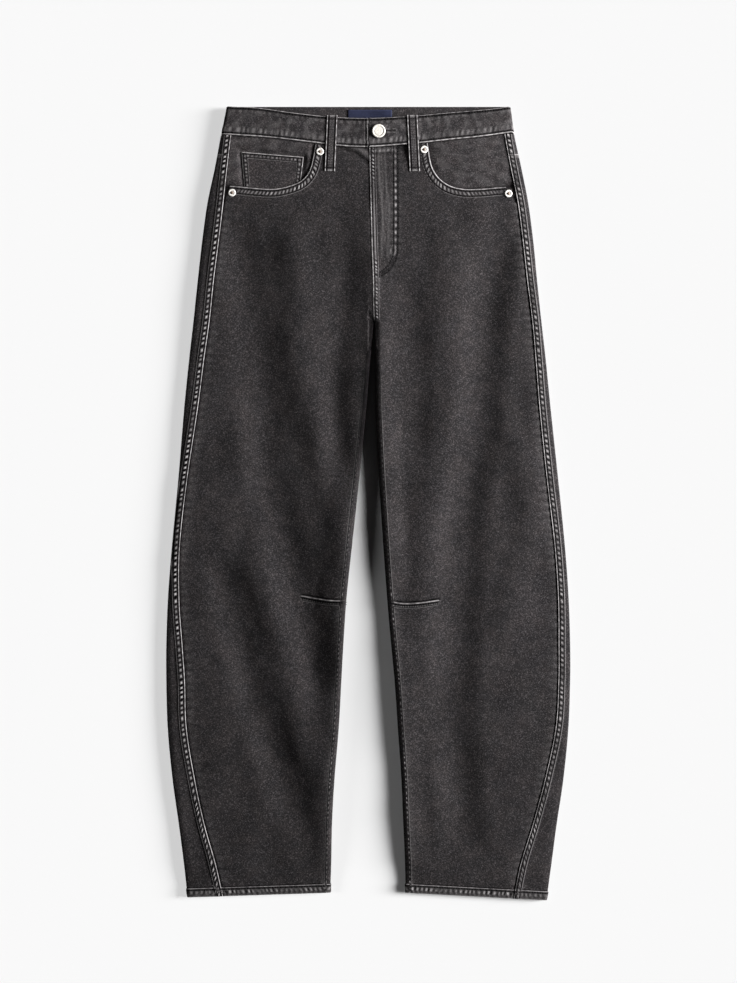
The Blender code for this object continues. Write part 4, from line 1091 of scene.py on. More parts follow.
def make_back_pocket(side, material):
    """A patch pocket with a pointed lower edge, whose outer face lies on the surface."""
    top_in, top_out, low_out, tip, low_in = [np.array(point, float) for point in BACK_POCKET]

    def pattern(share, part):
        inner = low_in + (top_in - low_in) * part[:, None]
        outer = low_out + (top_out - low_out) * part[:, None]
        point = inner + (outer - inner) * share[:, None]
        straight_low = low_in[1] + (low_out[1] - low_in[1]) * share
        tip_share = (tip[0] - low_in[0]) / (low_out[0] - low_in[0])
        point_low = np.where(share < tip_share, low_in[1] + (tip[1] - low_in[1]) * share / tip_share,
                             low_out[1] + (tip[1] - low_out[1]) * (1 - share) / (1 - tip_share))
        y = point[:, 1] + (point_low - straight_low) * (1 - part)
        return point[:, 0], y

    def marks(out, y):
        found = Marks(out)
        gap, run = to_line(out, y, BACK_POCKET_RING)
        gap = np.abs(gap)
        for row in BACK_POCKET_ROWS:
            found.add(rise=-0.4 * hump(gap - row, 1.1))
        found.seam(gap, run, two_rows(*BACK_POCKET_ROWS, 10.5), 5.6, 0.6)
        return found

    def form(out, y, deep):
        return out * TOWARDS[side], y, np.maximum(deep, 0.0)

    piece = lay_cloth("back_pocket_cloth_" + side, even(60), even(60), pattern, form, marks, DENIM, material,
                      "back_pocket_" + side)


# The waistband
def underlap_level(x):
    """The right end's outer face: low under the lap, and level with it just beside its end."""
    beside = LAP_END_X - 0.6 - x
    level = BAND_UNDERLAP_LEVEL + BAND_STEP_UP * ease(beside / 1.4)
    return level - (BAND_UNDERLAP_LEVEL + BAND_STEP_UP - BAND_FRONT_LEVEL) * ease((beside - 4.0) / 24.0)


def band_stations():
    """Low points, high points and outward directions along the band, from its right end to its left one."""
    def front(x, level):
        low = np.stack([x, band_bottom(x), level], axis=1)
        high = np.stack([x, band_top(x), level], axis=1)
        return low, high, np.tile([0.0, 0.0, 1.0], (len(x), 1))

    def back(x):
        count = len(x)
        low = np.stack([x, np.full(count, BACK_BAND_BOTTOM), np.full(count, BAND_BACK_LEVEL)], axis=1)
        high = np.stack([x, np.full(count, WAIST_TOP), np.full(count, BAND_BACK_LEVEL)], axis=1)
        return low, high, np.tile([0.0, 0.0, -1.0], (count, 1))

    def side_fold(side, angle):
        half = (BAND_FRONT_LEVEL - BAND_BACK_LEVEL) / 2
        middle = (BAND_FRONT_LEVEL + BAND_BACK_LEVEL) / 2
        towards = TOWARDS[side]
        front_low = band_bottom((outer_edge[side](BAND_SIDE_Y) - FOLD_DEPTH) * towards)
        share = (1.0 - np.cos(angle)) / 2
        low_y = front_low + (BACK_BAND_BOTTOM - front_low) * share
        front_high = band_top(WAIST_HALF * towards)
        high_y = front_high + (WAIST_TOP - front_high) * share
        points = []
        for y in (low_y, high_y):
            x = outer_edge[side](y) - FOLD_DEPTH + FOLD_DEPTH * np.sin(angle)
            points.append(np.stack([x * towards, y, middle + half * np.cos(angle)], axis=1))
        outwards = np.stack([np.sin(angle) * towards, 0 * angle, np.cos(angle)], axis=1)
        return points[0], points[1], outwards

    turn = np.linspace(0, np.pi, 13)
    right_x = UNDERLAP_END_X - uneven((0, BAND_FLAT_HALF + UNDERLAP_END_X, 1.5))
    left_x = BAND_FLAT_HALF - uneven((0, BAND_FLAT_HALF - LAP_END_X, 1.5))
    parts = [front(right_x, underlap_level(right_x)), side_fold("right", turn),
             back(np.linspace(-160, 160, 33)), side_fold("left", turn[::-1]),
             front(left_x, band_front_level(left_x))]
    low, high, outwards = [np.concatenate([part[index] for part in parts]) for index in range(3)]
    gap = np.concatenate([[0], np.cumsum(np.linalg.norm(np.diff(low + high, axis=0) / 2, axis=1))])
    fill = [gap[0]]
    for start, end in zip(gap, gap[1:]):
        pieces = max(1, int(round((end - start) / 3.0))) if end - start > 4.0 else 1
        fill += list(start + (end - start) * np.arange(1, pieces + 1) / pieces)
    fill = np.array(fill)
    fine = [np.stack([np.interp(fill, gap, part[:, axis]) for axis in range(3)], axis=1)
            for part in (low, high, outwards)]
    return fill, fine[0], fine[1], fine[2]


def make_waistband(material):
    run, low, high, outwards = band_stations()
    heights = uneven((0, 0.10, 0.02), (0.10, 0.86, 0.04), (0.86, 1.0, 0.014))
    columns = np.arange(len(run), dtype=float)

    def place(column, share, deep):
        index = column.astype(int)
        point = low[index] + (high[index] - low[index]) * share[:, None] - outwards[index] * deep[:, None]
        return point[:, 0], point[:, 1], point[:, 2]

    def marks(column, share):
        found = Marks(column)
        index = column.astype(int)
        tall = np.linalg.norm(high[index] - low[index], axis=1)
        from_low, from_high = share * tall, (1 - share) * tall
        x, y, _ = (low[index] + (high[index] - low[index]) * share[:, None]).T
        at = run[index]
        pull = teeth(at + from_low * 0.35, 6.0, 101, 1.1)
        found.add(rise=-1.2 * ease((1.5 - from_high) / 1.5) ** 2 - 0.5 * ease((0.9 - from_low) / 0.9))
        for gap in (from_low, from_high):
            found.add(rise=-0.35 * hump(gap - 2.4, 0.9))
        found.seam(from_low, at + from_low * 0.1, one_row(BAND_ROW, 9.0), 7.0, 0.3, True, 1.0)
        found.seam(from_high, at, thin_edge(one_row(BAND_ROW, 6.0)), 8.0, 0.12, True, 1.15)
        above = beyond(from_low - 3.4, 13.0) * (from_low > 2.9)
        pucker = np.clip(0.15 + 0.7 * ripple(x, y, 3.2, 108, 7.0), 0, 1)
        found.add(rise=0.42 * above * (pull - 0.4), worn=0.22 * above * pucker)
        # Painted shade between the puckers
        found.add(ditch=0.2 * above * (1 - pull))
        below = beyond(from_high - 3.2, 9.0) * (from_high > 2.9)
        found.add(rise=0.2 * below * (teeth(at, 8.0, 103) - 0.4))
        found.add(rise=0.16 * ripple(x, y, 9.0, 105, 0.6), worn=0.1 * np.clip(ripple(x, y, 7.0, 106), 0, 1))
        last = run[-1] - at
        found.add(rise=-0.5 * hump(last, 0.9))
        found.add(worn=0.8 * hump(last - 1.4, 1.5), ditch=0.9 * hump(last - 3.4, 1.0))
        found.seam(last, from_low, leaned(one_row(LOOP_ROW, 4.0)), 5.0, 0.2, last < 4.4, 1.2)
        slit, along = to_line(x, y, BUTTONHOLE)
        slit = np.where(last < 60, np.abs(slit), FAR_OFF)
        # Painted shade in the buttonhole's slit
        found.add(ditch=hump(slit, 1.2), rise=-0.5 * hump(slit, 0.9) + 0.55 * hump(slit - 2.0, 1.2))
        found.add(worn=0.45 * hump(slit - 2.0, 1.3) * teeth(along, 1.9, 107))
        found.lie_flat(outwards[index][:, 2] <= -0.5)
        return found

    piece = lay_cloth("waistband_denim", columns, heights, as_drawn, place, marks, BAND_CLOTH, material,
                      "waistband")


# Loops, label and metal
def surface(x, y):
    """The height of the panels' face, with their seams, where a loop, rivet or stitch lies on it."""
    x, y = np.atleast_1d(np.asarray(x, float)), np.atleast_1d(np.asarray(y, float))
    height = top_form(x, y)
    for side in SIDES:
        mine = x < 0 if side == "right" else x >= 0
        rise = front_marks(side)(x * TOWARDS[side], y).rise
        height = np.where(mine, height + rise, height)
    return height


def make_front_loop(side, material):
    top_x, bottom_x = FRONT_LOOPS[side]
    tall = FRONT_LOOP_TOP_Y - FRONT_LOOP_BOTTOM_Y

    def middle_of(y):
        return bottom_x + (top_x - bottom_x) * (y - FRONT_LOOP_BOTTOM_Y) / tall

    def pattern(across, y):
        return middle_of(y) + across, y

    def place(x, y, deep):
        on_band = ease((y - 424.0) / 22.0)
        on_cloth = top_form(x, y) + 0.1
        floor = on_cloth + np.maximum(band_front_level(x) - on_cloth, 0.0) * on_band
        return x, y, floor + LAYER_GAP + LOOP_CLOTH - deep

    def marks(x, y):
        found = Marks(x)
        across = x - middle_of(y)
        side_gap = LOOP_WIDTH / 2 - np.abs(across)
        top_gap, low_gap = FRONT_LOOP_TOP_Y - y, y - FRONT_LOOP_BOTTOM_Y
        found.add(rise=-0.6 * ease((0.9 - side_gap) / 0.9) ** 2 - 0.3 * hump(side_gap - 2.6, 0.9))
        found.add(rise=-0.9 * ease((1.6 - top_gap) / 1.6) ** 2, worn=0.6 * hump(top_gap - 1.0, 1.6))
        found.add(rise=-0.9 * ease((1.2 - low_gap) / 1.2) ** 2, worn=0.7 * hump(low_gap - 1.2, 1.6))
        found.seam(side_gap - 0.4 * (across < 0), y, leaned(one_row(LOOP_ROW, 3.5)), 3.4, 0.2, True, 0.95)
        rib = 0.5 + 0.5 * np.cos(2 * np.pi * across / 2.6)
        centre = strip(side_gap, 3.8, FAR_OFF, 0.7)
        found.add(rise=0.15 * centre * rib, worn=centre * 0.13 * rib * teeth(y, 3.1, 111))
        for gap in (top_gap - 5.2, low_gap - 4.6):
            found.add(ditch=0.95 * hump(gap, 1.8), rise=-0.35 * hump(gap, 1.4))
        return found

    columns = uneven((-LOOP_WIDTH / 2, LOOP_WIDTH / 2, 0.7))
    rows = uneven((FRONT_LOOP_BOTTOM_Y, FRONT_LOOP_TOP_Y, 0.9))
    piece = lay_cloth("belt_loop_front_" + side, columns, rows, pattern, place, marks, LOOP_CLOTH, material,
                      "loop_front_" + side)


def lie(x, y, deep):
    """Lays the outer face on the surface."""
    return x, y, np.maximum(deep, 0.0)


def make_back_loop(name, middle, material):
    def pattern(across, y):
        return middle + across, y

    def marks(x, y):
        found = Marks(x)
        side_gap = LOOP_WIDTH / 2 - np.abs(x - middle)
        ends = np.minimum(BACK_LOOP_TOP_Y - y, y - BACK_LOOP_BOTTOM_Y)
        found.add(rise=-0.5 * ease((1.2 - side_gap) / 1.2) ** 2 - 0.3 * hump(side_gap - 2.6, 0.9))
        found.seam(side_gap, y, thin_edge(one_row(LOOP_ROW, 3.5)), 3.4, 0.2)
        found.add(rise=-0.4 * ease((1.2 - ends) / 1.2) ** 2, ditch=0.7 * hump(ends - 4.0, 1.2))
        return found

    columns = uneven((-LOOP_WIDTH / 2, LOOP_WIDTH / 2, 0.8))
    rows = uneven((BACK_LOOP_BOTTOM_Y, BACK_LOOP_TOP_Y, 1.2))
    piece = lay_cloth("belt_loop_back_" + name, columns, rows, pattern, lie, marks, BACK_LOOP_CLOTH,
                      material, "loop_back_" + name)


def make_label(material):
    floor = BAND_BACK_LEVEL + BAND_CLOTH + SEAM_GAP

    def place(x, y, deep):
        return x, y, floor + LABEL_CLOTH + 0.25 * ripple(x, y, 16.0, 121) + 0.25 - deep

    def marks(x, y):
        found = Marks(x)
        sides = np.minimum(x - LABEL_LEFT_X, LABEL_RIGHT_X - x)
        ends = np.minimum(y - LABEL_BOTTOM_Y, LABEL_TOP_Y - y)
        gap = np.minimum(sides, ends)
        found.add(rise=-0.3 * hump(gap, 0.9), worn=0.4 * hump(gap - 0.5, 0.9))
        found.add(ditch=0.5 * hump(gap - 1.8, 0.7))
        return found

    columns = uneven((LABEL_LEFT_X, LABEL_RIGHT_X, 0.9))
    rows = uneven((LABEL_BOTTOM_Y, LABEL_TOP_Y, 0.9))
    piece = lay_cloth("waist_label_cloth", columns, rows, as_drawn, place, marks, LABEL_CLOTH, material,
                      "waist_label")


def turn_profile(name, profile, centre, floor, material, replaced, steps, nub, groove):
    """Turns a profile of radius and height about its middle. The nub and groove are marked for the metal."""
    builder = bmesh.new()
    corners = [builder.verts.new((radius * MM, 0.0, height * MM)) for radius, height in profile]
    edges = [builder.edges.new(pair) for pair in zip(corners, corners[1:])]
    bmesh.ops.spin(builder, geom=corners + edges, cent=(0, 0, 0), axis=(0, 0, 1), angle=2 * math.pi,
                   steps=steps, use_merge=True)
    bmesh.ops.remove_doubles(builder, verts=builder.verts, dist=0.00001)
    bmesh.ops.recalc_face_normals(builder, faces=builder.faces)
    bmesh.ops.translate(builder, verts=builder.verts, vec=Vector((centre[0], centre[1], floor)) * MM)
    mesh = mesh_of(builder, name)
    x, y, _ = read_points(mesh).T / MM
    radius = np.hypot(x - centre[0], y - centre[1])
    write_mark(mesh, "nub", radius < nub)
    write_mark(mesh, "groove", (radius > groove[0]) & (radius < groove[1]))
    smooth_skin(mesh, 50)
    store(name, mesh, material, replaced)


def make_button(material):
    radius = BUTTON_RADIUS
    height = BUTTON_HEIGHT * BUTTON_SUNK
    profile = [(0.0, 0.0), (radius - 1.6, 0.0), (radius - 0.5, 0.6), (radius - 0.1, 1.1), (radius, 1.4),
               (radius - 0.1, 1.8), (radius - 0.5, 2.2), (radius - 1.0, height),
               (radius - 1.6, height - 0.05), (radius - 2.1, height - 0.25), (radius - 2.6, height - 0.5),
               (radius - 3.4, height - 0.5), (radius - 3.8, height - 0.35), (radius - 4.3, height - 0.3),
               (radius - 5.2, height - 0.42), (1.5, height - 0.38), (0.0, height - 0.35)]
    turn_profile("jeans_button", profile, BUTTON_CENTRE, BAND_LAP_LEVEL + SEAM_GAP, material,
                 "waist_button", 64, 0.0, (radius - 3.3, radius - 2.6))


def make_rivets(rim_material):
    radius = RIVET_RADIUS
    profile = [(0.0, 0.0), (radius - 0.4, 0.0), (radius, 0.3), (radius - 0.1, 0.6), (radius - 0.6, 0.95),
               (radius - 1.3, 1.0), (radius - 1.9, 0.8), (2.3, 0.6), (2.0, 0.55), (1.6, 0.75), (1.45, 1.3),
               (1.1, 1.75), (0.5, RIVET_HEIGHT), (0.0, RIVET_HEIGHT)]
    for name, centre in RIVETS.items():
        floor = float(surface(centre[0], centre[1]).max()) + 0.1
        turn_profile("jeans_" + name, profile, centre, floor, rim_material, name, 48, 1.7,
                     (1.8, 2.2))


# Stitches
STITCH_PITCH = 3.4
STITCH_HALF = (1.25, 0.34, 0.3)
STITCH_LIFT = 0.12
DART_STITCH_ROWS = (1.0, 3.9)


def stitch_line(points, gap=0.0, pitch=STITCH_PITCH):
    """Places and directions of stitches along a line moved sideways by a gap."""
    points = np.asarray(points, float)
    steps = np.diff(points, axis=0)
    run = np.concatenate([[0], np.cumsum(np.hypot(*steps.T))])
    at = np.arange(pitch / 2, run[-1], pitch)
    x, y = np.interp(at, run, points[:, 0]), np.interp(at, run, points[:, 1])
    ahead_x = np.interp(at + 1.0, run, points[:, 0]) - np.interp(at - 1.0, run, points[:, 0])
    ahead_y = np.interp(at + 1.0, run, points[:, 1]) - np.interp(at - 1.0, run, points[:, 1])
    length = np.hypot(ahead_x, ahead_y)
    ahead_x, ahead_y = ahead_x / length, ahead_y / length
    return np.stack([x - ahead_y * gap, y + ahead_x * gap, ahead_x, ahead_y], axis=1)


def sew(name, stitches, height, material, looks=1.0):
    """One piece of thread stitches at the given places, with a height found for each end."""
    pattern = bmesh.new()
    bmesh.ops.create_uvsphere(pattern, u_segments=6, v_segments=4, radius=1.0)
    bmesh.ops.rotate(pattern, verts=pattern.verts, matrix=Matrix.Rotation(math.pi / 2, 3, "Y"))
    one = mesh_of(pattern, name + "_one")
    shape = read_points(one) * STITCH_HALF
    builder = bmesh.new()
    for _ in range(len(stitches)):
        builder.from_mesh(one)
    mesh = mesh_of(builder, name)
    bpy.data.meshes.remove(one)
    x, y, ahead_x, ahead_y = [part[:, None] for part in stitches.T]
    reach = STITCH_HALF[0]
    back = height(x - ahead_x * reach, y - ahead_y * reach)
    front = height(x + ahead_x * reach, y + ahead_y * reach)
    slope = (front - back) / (2 * reach)
    along, across, up = [shape[None, :, axis] for axis in range(3)]
    placed = np.stack([x + along * ahead_x - across * ahead_y, y + along * ahead_y + across * ahead_x,
                       (front + back) / 2 + slope * along + up + STITCH_LIFT * looks], axis=2)
    mesh.vertices.foreach_set("co", placed.ravel() * MM)
    mesh.update()
    mesh.shade_smooth()
    store(name, mesh, material, None)


def mirrored(stitches, side):
    """Stitches from a side's own distances to X."""
    return stitches * np.array([TOWARDS[side], 1.0, TOWARDS[side], 1.0])


def sew_legs(yarn):
    """The outseam's two rows, the hem's row, the inseam's row and the knee dart's two rows on each leg."""
    for side in SIDES:
        down = np.linspace(HEM_INNER_Y + 3.0, 455.0, 400)
        rows = [stitch_line(joined(outseam[side](down) + gap, down)) for gap in OUTSEAM_ROWS]
        out = np.linspace(inner_edge[side](HEM_INNER_Y) + 5.0, outer_edge[side](HEM_INNER_Y) - 4.5, 90)
        rows.append(stitch_line(joined(out, hem_y(side, out) + HEM_DEPTH - HEM_ROW)))
        down = np.linspace(HEM_INNER_Y + 14.0, CROTCH_Y - 60.0, 300)
        rows.append(stitch_line(joined(inner_edge[side](down) + INSEAM_ROW, down)))
        dart = smooth_line([(x * TOWARDS[side], y) for x, y in KNEE_DARTS[side]], 3.0)
        rows += [stitch_line(dart + np.array([0.0, -gap])) for gap in DART_STITCH_ROWS]
        stitches = mirrored(np.concatenate(rows), side)
        sew("stitches_leg_" + side, stitches, surface, yarn)


def sew_hips(yarn):
    """The front pockets' rows and the fly's straight and curved rows."""
    rows = []
    for side in SIDES:
        line = pocket_line[side][3:]
        rows += [mirrored(stitch_line(line, gap), side) for gap in POCKET_ROWS]
    up = np.linspace(CROTCH_Y + 4.0, 442.0, 120)
    rows += [stitch_line(joined(centre_front(up) + gap, up)) for gap in FLY_ROWS]
    rows += [stitch_line(fly_line[2:-3], gap) for gap in (FLY_CURVE_ROW, -FLY_CURVE_ROW)]
    sew("stitches_hips", np.concatenate(rows), surface, yarn)


def sew_band(yarn):
    """The waistband's rows along its lower and upper edges on the front."""
    rows = []
    for start, end in ((-170.0, LAP_END_X - 2.0), (LAP_END_X + 2.6, 170.0)):
        x = np.linspace(start, end, 120)
        rows.append(stitch_line(joined(x, band_bottom(x) + BAND_ROW)))
        rows.append(stitch_line(joined(x, band_top(x) - BAND_ROW)))

    def level(x, y):
        return np.where(x < LAP_END_X, underlap_level(x), band_front_level(x)) - 0.35

    sew("stitches_waistband", np.concatenate(rows), level, yarn)


def sew_coin_pocket(yarn):
    ring = COIN_OUTLINE[3:] + COIN_OUTLINE[:3]
    rows = [stitch_line(smooth_line(ends)[2:-2], -gap) for ends in zip(ring, ring[1:]) for gap in COIN_ROWS]

    def level(x, y):
        return top_form(x, y) - DENIM - LAYER_GAP + 0.05

    sew("stitches_coin_pocket", np.concatenate(rows), level, yarn)


def sew_back(yarn):
    """The yoke seams' rows and the back pockets' rows, which all look down."""
    def yoke_level(x, y):
        return underside_level(y) + 0.35 + 0 * x

    def pocket_level(x, y):
        return 0.45 + 0 * x

    out = np.linspace(8.0, 160.0, 80)
    ring = (BACK_POCKET[-1:] + BACK_POCKET)[::-1]
    for side in SIDES:
        rows = [stitch_line(joined(out, yoke_seam(out) + gap)) for gap in BACK_ROWS]
        sew("stitches_yoke_" + side, mirrored(np.concatenate(rows), side), yoke_level, yarn, -1.0)
        rows = [stitch_line(smooth_line(ends)[2:-2], gap) for ends in zip(ring, ring[1:])
                for gap in BACK_POCKET_ROWS]
        sew("stitches_back_pocket_" + side, mirrored(np.concatenate(rows), side), pocket_level, yarn, -1.0)


# Materials
TWILL_PITCH = 0.0012
TWILL_ANGLE = 62.0
SALT_SIZE = 0.0013
FLECK_SIZE = 0.00095
MOTTLE_SIZE = 0.018
PATCH_SIZE = 0.07
WORN_TONE = (0.48, 0.455, 0.455, 1)
# The near-black of painted shade and of the dark stitch rows
SHADE_AND_STITCH_TONE = (0.0022, 0.002, 0.0022, 1)
DENIM_SPECULAR = 0.12
WASH_TINTS = [(1.02, 1.0, 0.99, 1), (0.98, 1.0, 1.02, 1)]
LABEL_WEAVE_PITCH = 0.0008


def shader_of(material):
    return material.node_tree.nodes["Principled BSDF"]


def put(material, kind, settings=None, **inputs):
    """Adds a node. Inputs are numbers, or sockets to link, by the input's name with _ for a space."""
    node = material.node_tree.nodes.new(kind)
    for title, value in (settings or {}).items():
        setattr(node, title, value)
    for title, value in inputs.items():
        if title.startswith("at_"):
            socket = node.inputs[int(title[3:])]
        else:
            socket = node.inputs[title.replace("_", " ")]
        if isinstance(value, bpy.types.NodeSocket):
            material.node_tree.links.new(value, socket)
        else:
            socket.default_value = value
    return node


def sums(material, operation, first, second, third=None):
    values = {"at_0": first, "at_1": second}
    if third is not None:
        values["at_2"] = third
    return put(material, "ShaderNodeMath", {"operation": operation}, **values).outputs[0]


def blend(material, share, first, second, kind="MIX"):
    node = put(material, "ShaderNodeMix", {"data_type": "RGBA", "blend_type": kind}, at_0=share, at_6=first,
               at_7=second)
    return node.outputs[2]


def new_material(name, roughness, metallic=0.0, specular=0.3):
    material = bpy.data.materials.new(name)
    material.use_nodes = True
    shader = shader_of(material)
    shader.inputs["Roughness"].default_value = roughness
    shader.inputs["Metallic"].default_value = metallic
    shader.inputs["Specular IOR Level"].default_value = specular
    return material


def noise(material, where, size, detail=2.0, roughness=0.5):
    return put(material, "ShaderNodeTexNoise", Vector=where, Scale=1.0 / size, Detail=detail,
               Roughness=roughness).outputs["Fac"]


def weigh(material, parts, base=0.5):
    """The base plus each value's distance from one half, times its weight, kept between 0 and 1."""
    total = base - sum(weight for _, weight in parts) / 2
    for value, weight in parts:
        total = sums(material, "MULTIPLY_ADD", value, weight, total)
    return put(material, "ShaderNodeClamp", Value=total).outputs[0]


def near(material, value, centre, half):
    """1 where a value is at a centre, falling softly to 0 at half its width."""
    off = sums(material, "ABSOLUTE", sums(material, "SUBTRACT", value, centre), 0.0)
    return put(material, "ShaderNodeMapRange", {"interpolation_type": "SMOOTHSTEP"}, Value=off, From_Min=0.0,
               From_Max=half, To_Min=1.0, To_Max=0.0).outputs[0]


def read_mark(material, title):
    return put(material, "ShaderNodeAttribute", {"attribute_name": title}).outputs["Fac"]


def place_of(material):
    return put(material, "ShaderNodeTexCoord").outputs["Object"]


def wave(material, where, pitch, bands="X", **looks):
    return put(material, "ShaderNodeTexWave", {"wave_type": "BANDS", "bands_direction": bands}, Vector=where,
               Scale=2 * math.pi / 20 / pitch, **looks).outputs["Fac"]


def wire(material, tone, height=None, strength=0.5, distance=0.0002):
    """Links a colour to the shader, and the bumps of a height where there is one."""
    inputs = shader_of(material).inputs
    material.node_tree.links.new(tone, inputs["Base Color"])
    if height is not None:
        bump = put(material, "ShaderNodeBump", Strength=strength, Distance=distance, Height=height)
        material.node_tree.links.new(bump.outputs[0], inputs["Normal"])
    return material


def seam_wear(material):
    """How worn a seam is at each point, and where shade and dark stitches are painted on it, from where it
    is across and along the seam.
    """
    titles = ("across", "along", "pull", "sewn")
    across, along, pull, on_seam = [read_mark(material, title) for title in titles]

    # Puckers, each a worn bead with painted shade in the gap beside it
    turn = sums(material, "MULTIPLY_ADD", along, 2 * math.pi, across)
    bead = sums(material, "MULTIPLY_ADD", sums(material, "COSINE", turn, 0.0), 0.5, 0.5)
    column = sums(material, "MULTIPLY", near(material, across, 0.465, 0.29), pull)
    beads = sums(material, "MULTIPLY", column, sums(material, "POWER", bead, 1.2))
    gaps = sums(material, "MULTIPLY", column, sums(material, "SUBTRACT", 1.0, bead))

    # Dark stitch rows, broken into dashes, and painted shade in the groove beside the sewn edge
    quick = sums(material, "COSINE", sums(material, "MULTIPLY", along, 4 * math.pi), 0.0)
    dashes = sums(material, "MULTIPLY_ADD", quick, 0.14, 0.86)
    rows = sums(material, "MAXIMUM", near(material, across, FIRST_ROW + 0.02, 0.15),
                near(material, across, SECOND_ROW, 0.13))
    rows = sums(material, "MINIMUM", sums(material, "MULTIPLY", rows, 1.5), 1.0)
    dark = sums(material, "MULTIPLY", rows, dashes)
    dark = sums(material, "MAXIMUM", dark, near(material, across, -0.07, 0.10))
    dark = sums(material, "MAXIMUM", dark, gaps)

    # The sewn edge and the seam's far end, both rubbed pale
    edge = sums(material, "MULTIPLY", near(material, across, 0.07, 0.095), read_mark(material, "edge"))
    end = sums(material, "MULTIPLY", near(material, across, 0.87, 0.09), 0.26)
    light = sums(material, "MAXIMUM", sums(material, "MAXIMUM", edge, end), beads)
    return sums(material, "MULTIPLY", light, on_seam), sums(material, "MULTIPLY", dark, on_seam)


def denim(name, dark, pale):
    """Washed twill: diagonal threads, pale speckle, soft mottling, worn edges, dark stitch rows, and painted
    shade in grooves, creases and under edges.
    """
    material = new_material(name, 0.92, specular=DENIM_SPECULAR)
    where = place_of(material)
    angle = (0, 0, math.radians(TWILL_ANGLE))
    turned = put(material, "ShaderNodeMapping", Vector=where, Rotation=angle).outputs[0]
    twill = wave(material, turned, TWILL_PITCH, Distortion=1.5, Detail=2.0, Detail_Scale=3.0)
    salt = noise(material, where, SALT_SIZE, 2.0, 0.75)
    cells = put(material, "ShaderNodeTexVoronoi", Vector=where, Scale=1.0 / FLECK_SIZE).outputs["Color"]
    flecks = sums(material, "POWER", put(material, "ShaderNodeSeparateColor", Color=cells).outputs[0], 4.0)
    mottle = noise(material, where, MOTTLE_SIZE, 3.0, 0.6)
    patches = noise(material, where, PATCH_SIZE, 2.0, 0.5)
    parts = [(salt, 1.0), (flecks, 0.62), (twill, 0.2), (mottle, 0.26), (patches, 0.3)]
    share = sums(material, "POWER", weigh(material, parts, 0.665), 1.9)
    plain = blend(material, share, (*dark, 1), (*pale, 1))
    hue = put(material, "ShaderNodeMapRange", Value=mottle, From_Min=0.35, From_Max=0.65).outputs[0]
    warm, cool = [blend(material, 1.0, plain, tint, "MULTIPLY") for tint in WASH_TINTS]
    plain = blend(material, hue, cool, warm)

    seam_light, seam_shade_and_stitch = seam_wear(material)
    worn = sums(material, "MAXIMUM", read_mark(material, "worn"), seam_light)
    # Painted shade and dark stitch rows pull the tone towards near-black, and the painted shade also lowers
    # the specular
    ditch = sums(material, "MAXIMUM", read_mark(material, "ditch"), seam_shade_and_stitch)
    rubbed = sums(material, "MULTIPLY", worn, sums(material, "MULTIPLY_ADD", salt, 1.3, 0.2))
    rubbed = put(material, "ShaderNodeClamp", Value=rubbed).outputs[0]
    tone = blend(material, rubbed, plain, WORN_TONE)
    tone = blend(material, sums(material, "MULTIPLY", ditch, 0.93), tone, SHADE_AND_STITCH_TONE)
    shade_dimmed_specular = sums(material, "MULTIPLY_ADD", ditch, -DENIM_SPECULAR, DENIM_SPECULAR)
    material.node_tree.links.new(shade_dimmed_specular, shader_of(material).inputs["Specular IOR Level"])
    height = sums(material, "MULTIPLY_ADD", twill, 0.4, sums(material, "MULTIPLY", salt, 1.2))
    height = sums(material, "SUBTRACT", sums(material, "ADD", height, seam_light), seam_shade_and_stitch)
    return wire(material, tone, height, distance=0.0004)


def thread(name, colour):
    material = new_material(name, 0.7)
    fluff = noise(material, place_of(material), 0.0008, 2.0, 0.6)
    dark, pale = [(*[part * share for part in colour], 1) for share in (0.5, 1.6)]
    return wire(material, blend(material, fluff, dark, pale))


def woven_label(name):
    material = new_material(name, 0.75, specular=0.25)
    where = place_of(material)
    warp, weft = [wave(material, where, LABEL_WEAVE_PITCH, bands) for bands in ("X", "Y")]
    weave = sums(material, "MULTIPLY", warp, weft)
    mottle = noise(material, where, 0.006, 2.0, 0.5)
    share = sums(material, "MULTIPLY_ADD", weave, 0.5, mottle)
    share = put(material, "ShaderNodeClamp", Value=share).outputs[0]
    tone = blend(material, share, (0.005, 0.0065, 0.020, 1), (0.015, 0.0195, 0.052, 1))
    tone = blend(material, read_mark(material, "worn"), tone, (0.06, 0.07, 0.14, 1))
    return wire(material, tone, weave)


def cast_metal(name, dark, pale, nub, roughness):
    """Plated metal with cloudy tarnish, and a nub of another tone where the piece marks one."""
    material = new_material(name, roughness, 0.1, 0.5)
    where = place_of(material)
    cloud = noise(material, where, 0.0022, 3.0, 0.6)
    scratch = noise(material, where, 0.0006, 2.0, 0.6)
    share = put(material, "ShaderNodeMapRange", Value=cloud, From_Min=0.3, From_Max=0.7).outputs[0]
    tone = blend(material, share, (*dark, 1), (*pale, 1))
    tone = blend(material, read_mark(material, "nub"), tone, (*nub, 1))
    tarnish = sums(material, "MULTIPLY", read_mark(material, "groove"), 0.6)
    tone = blend(material, tarnish, tone, (0.10, 0.085, 0.07, 1))
    return wire(material, tone, scratch, 0.25, 0.0001)


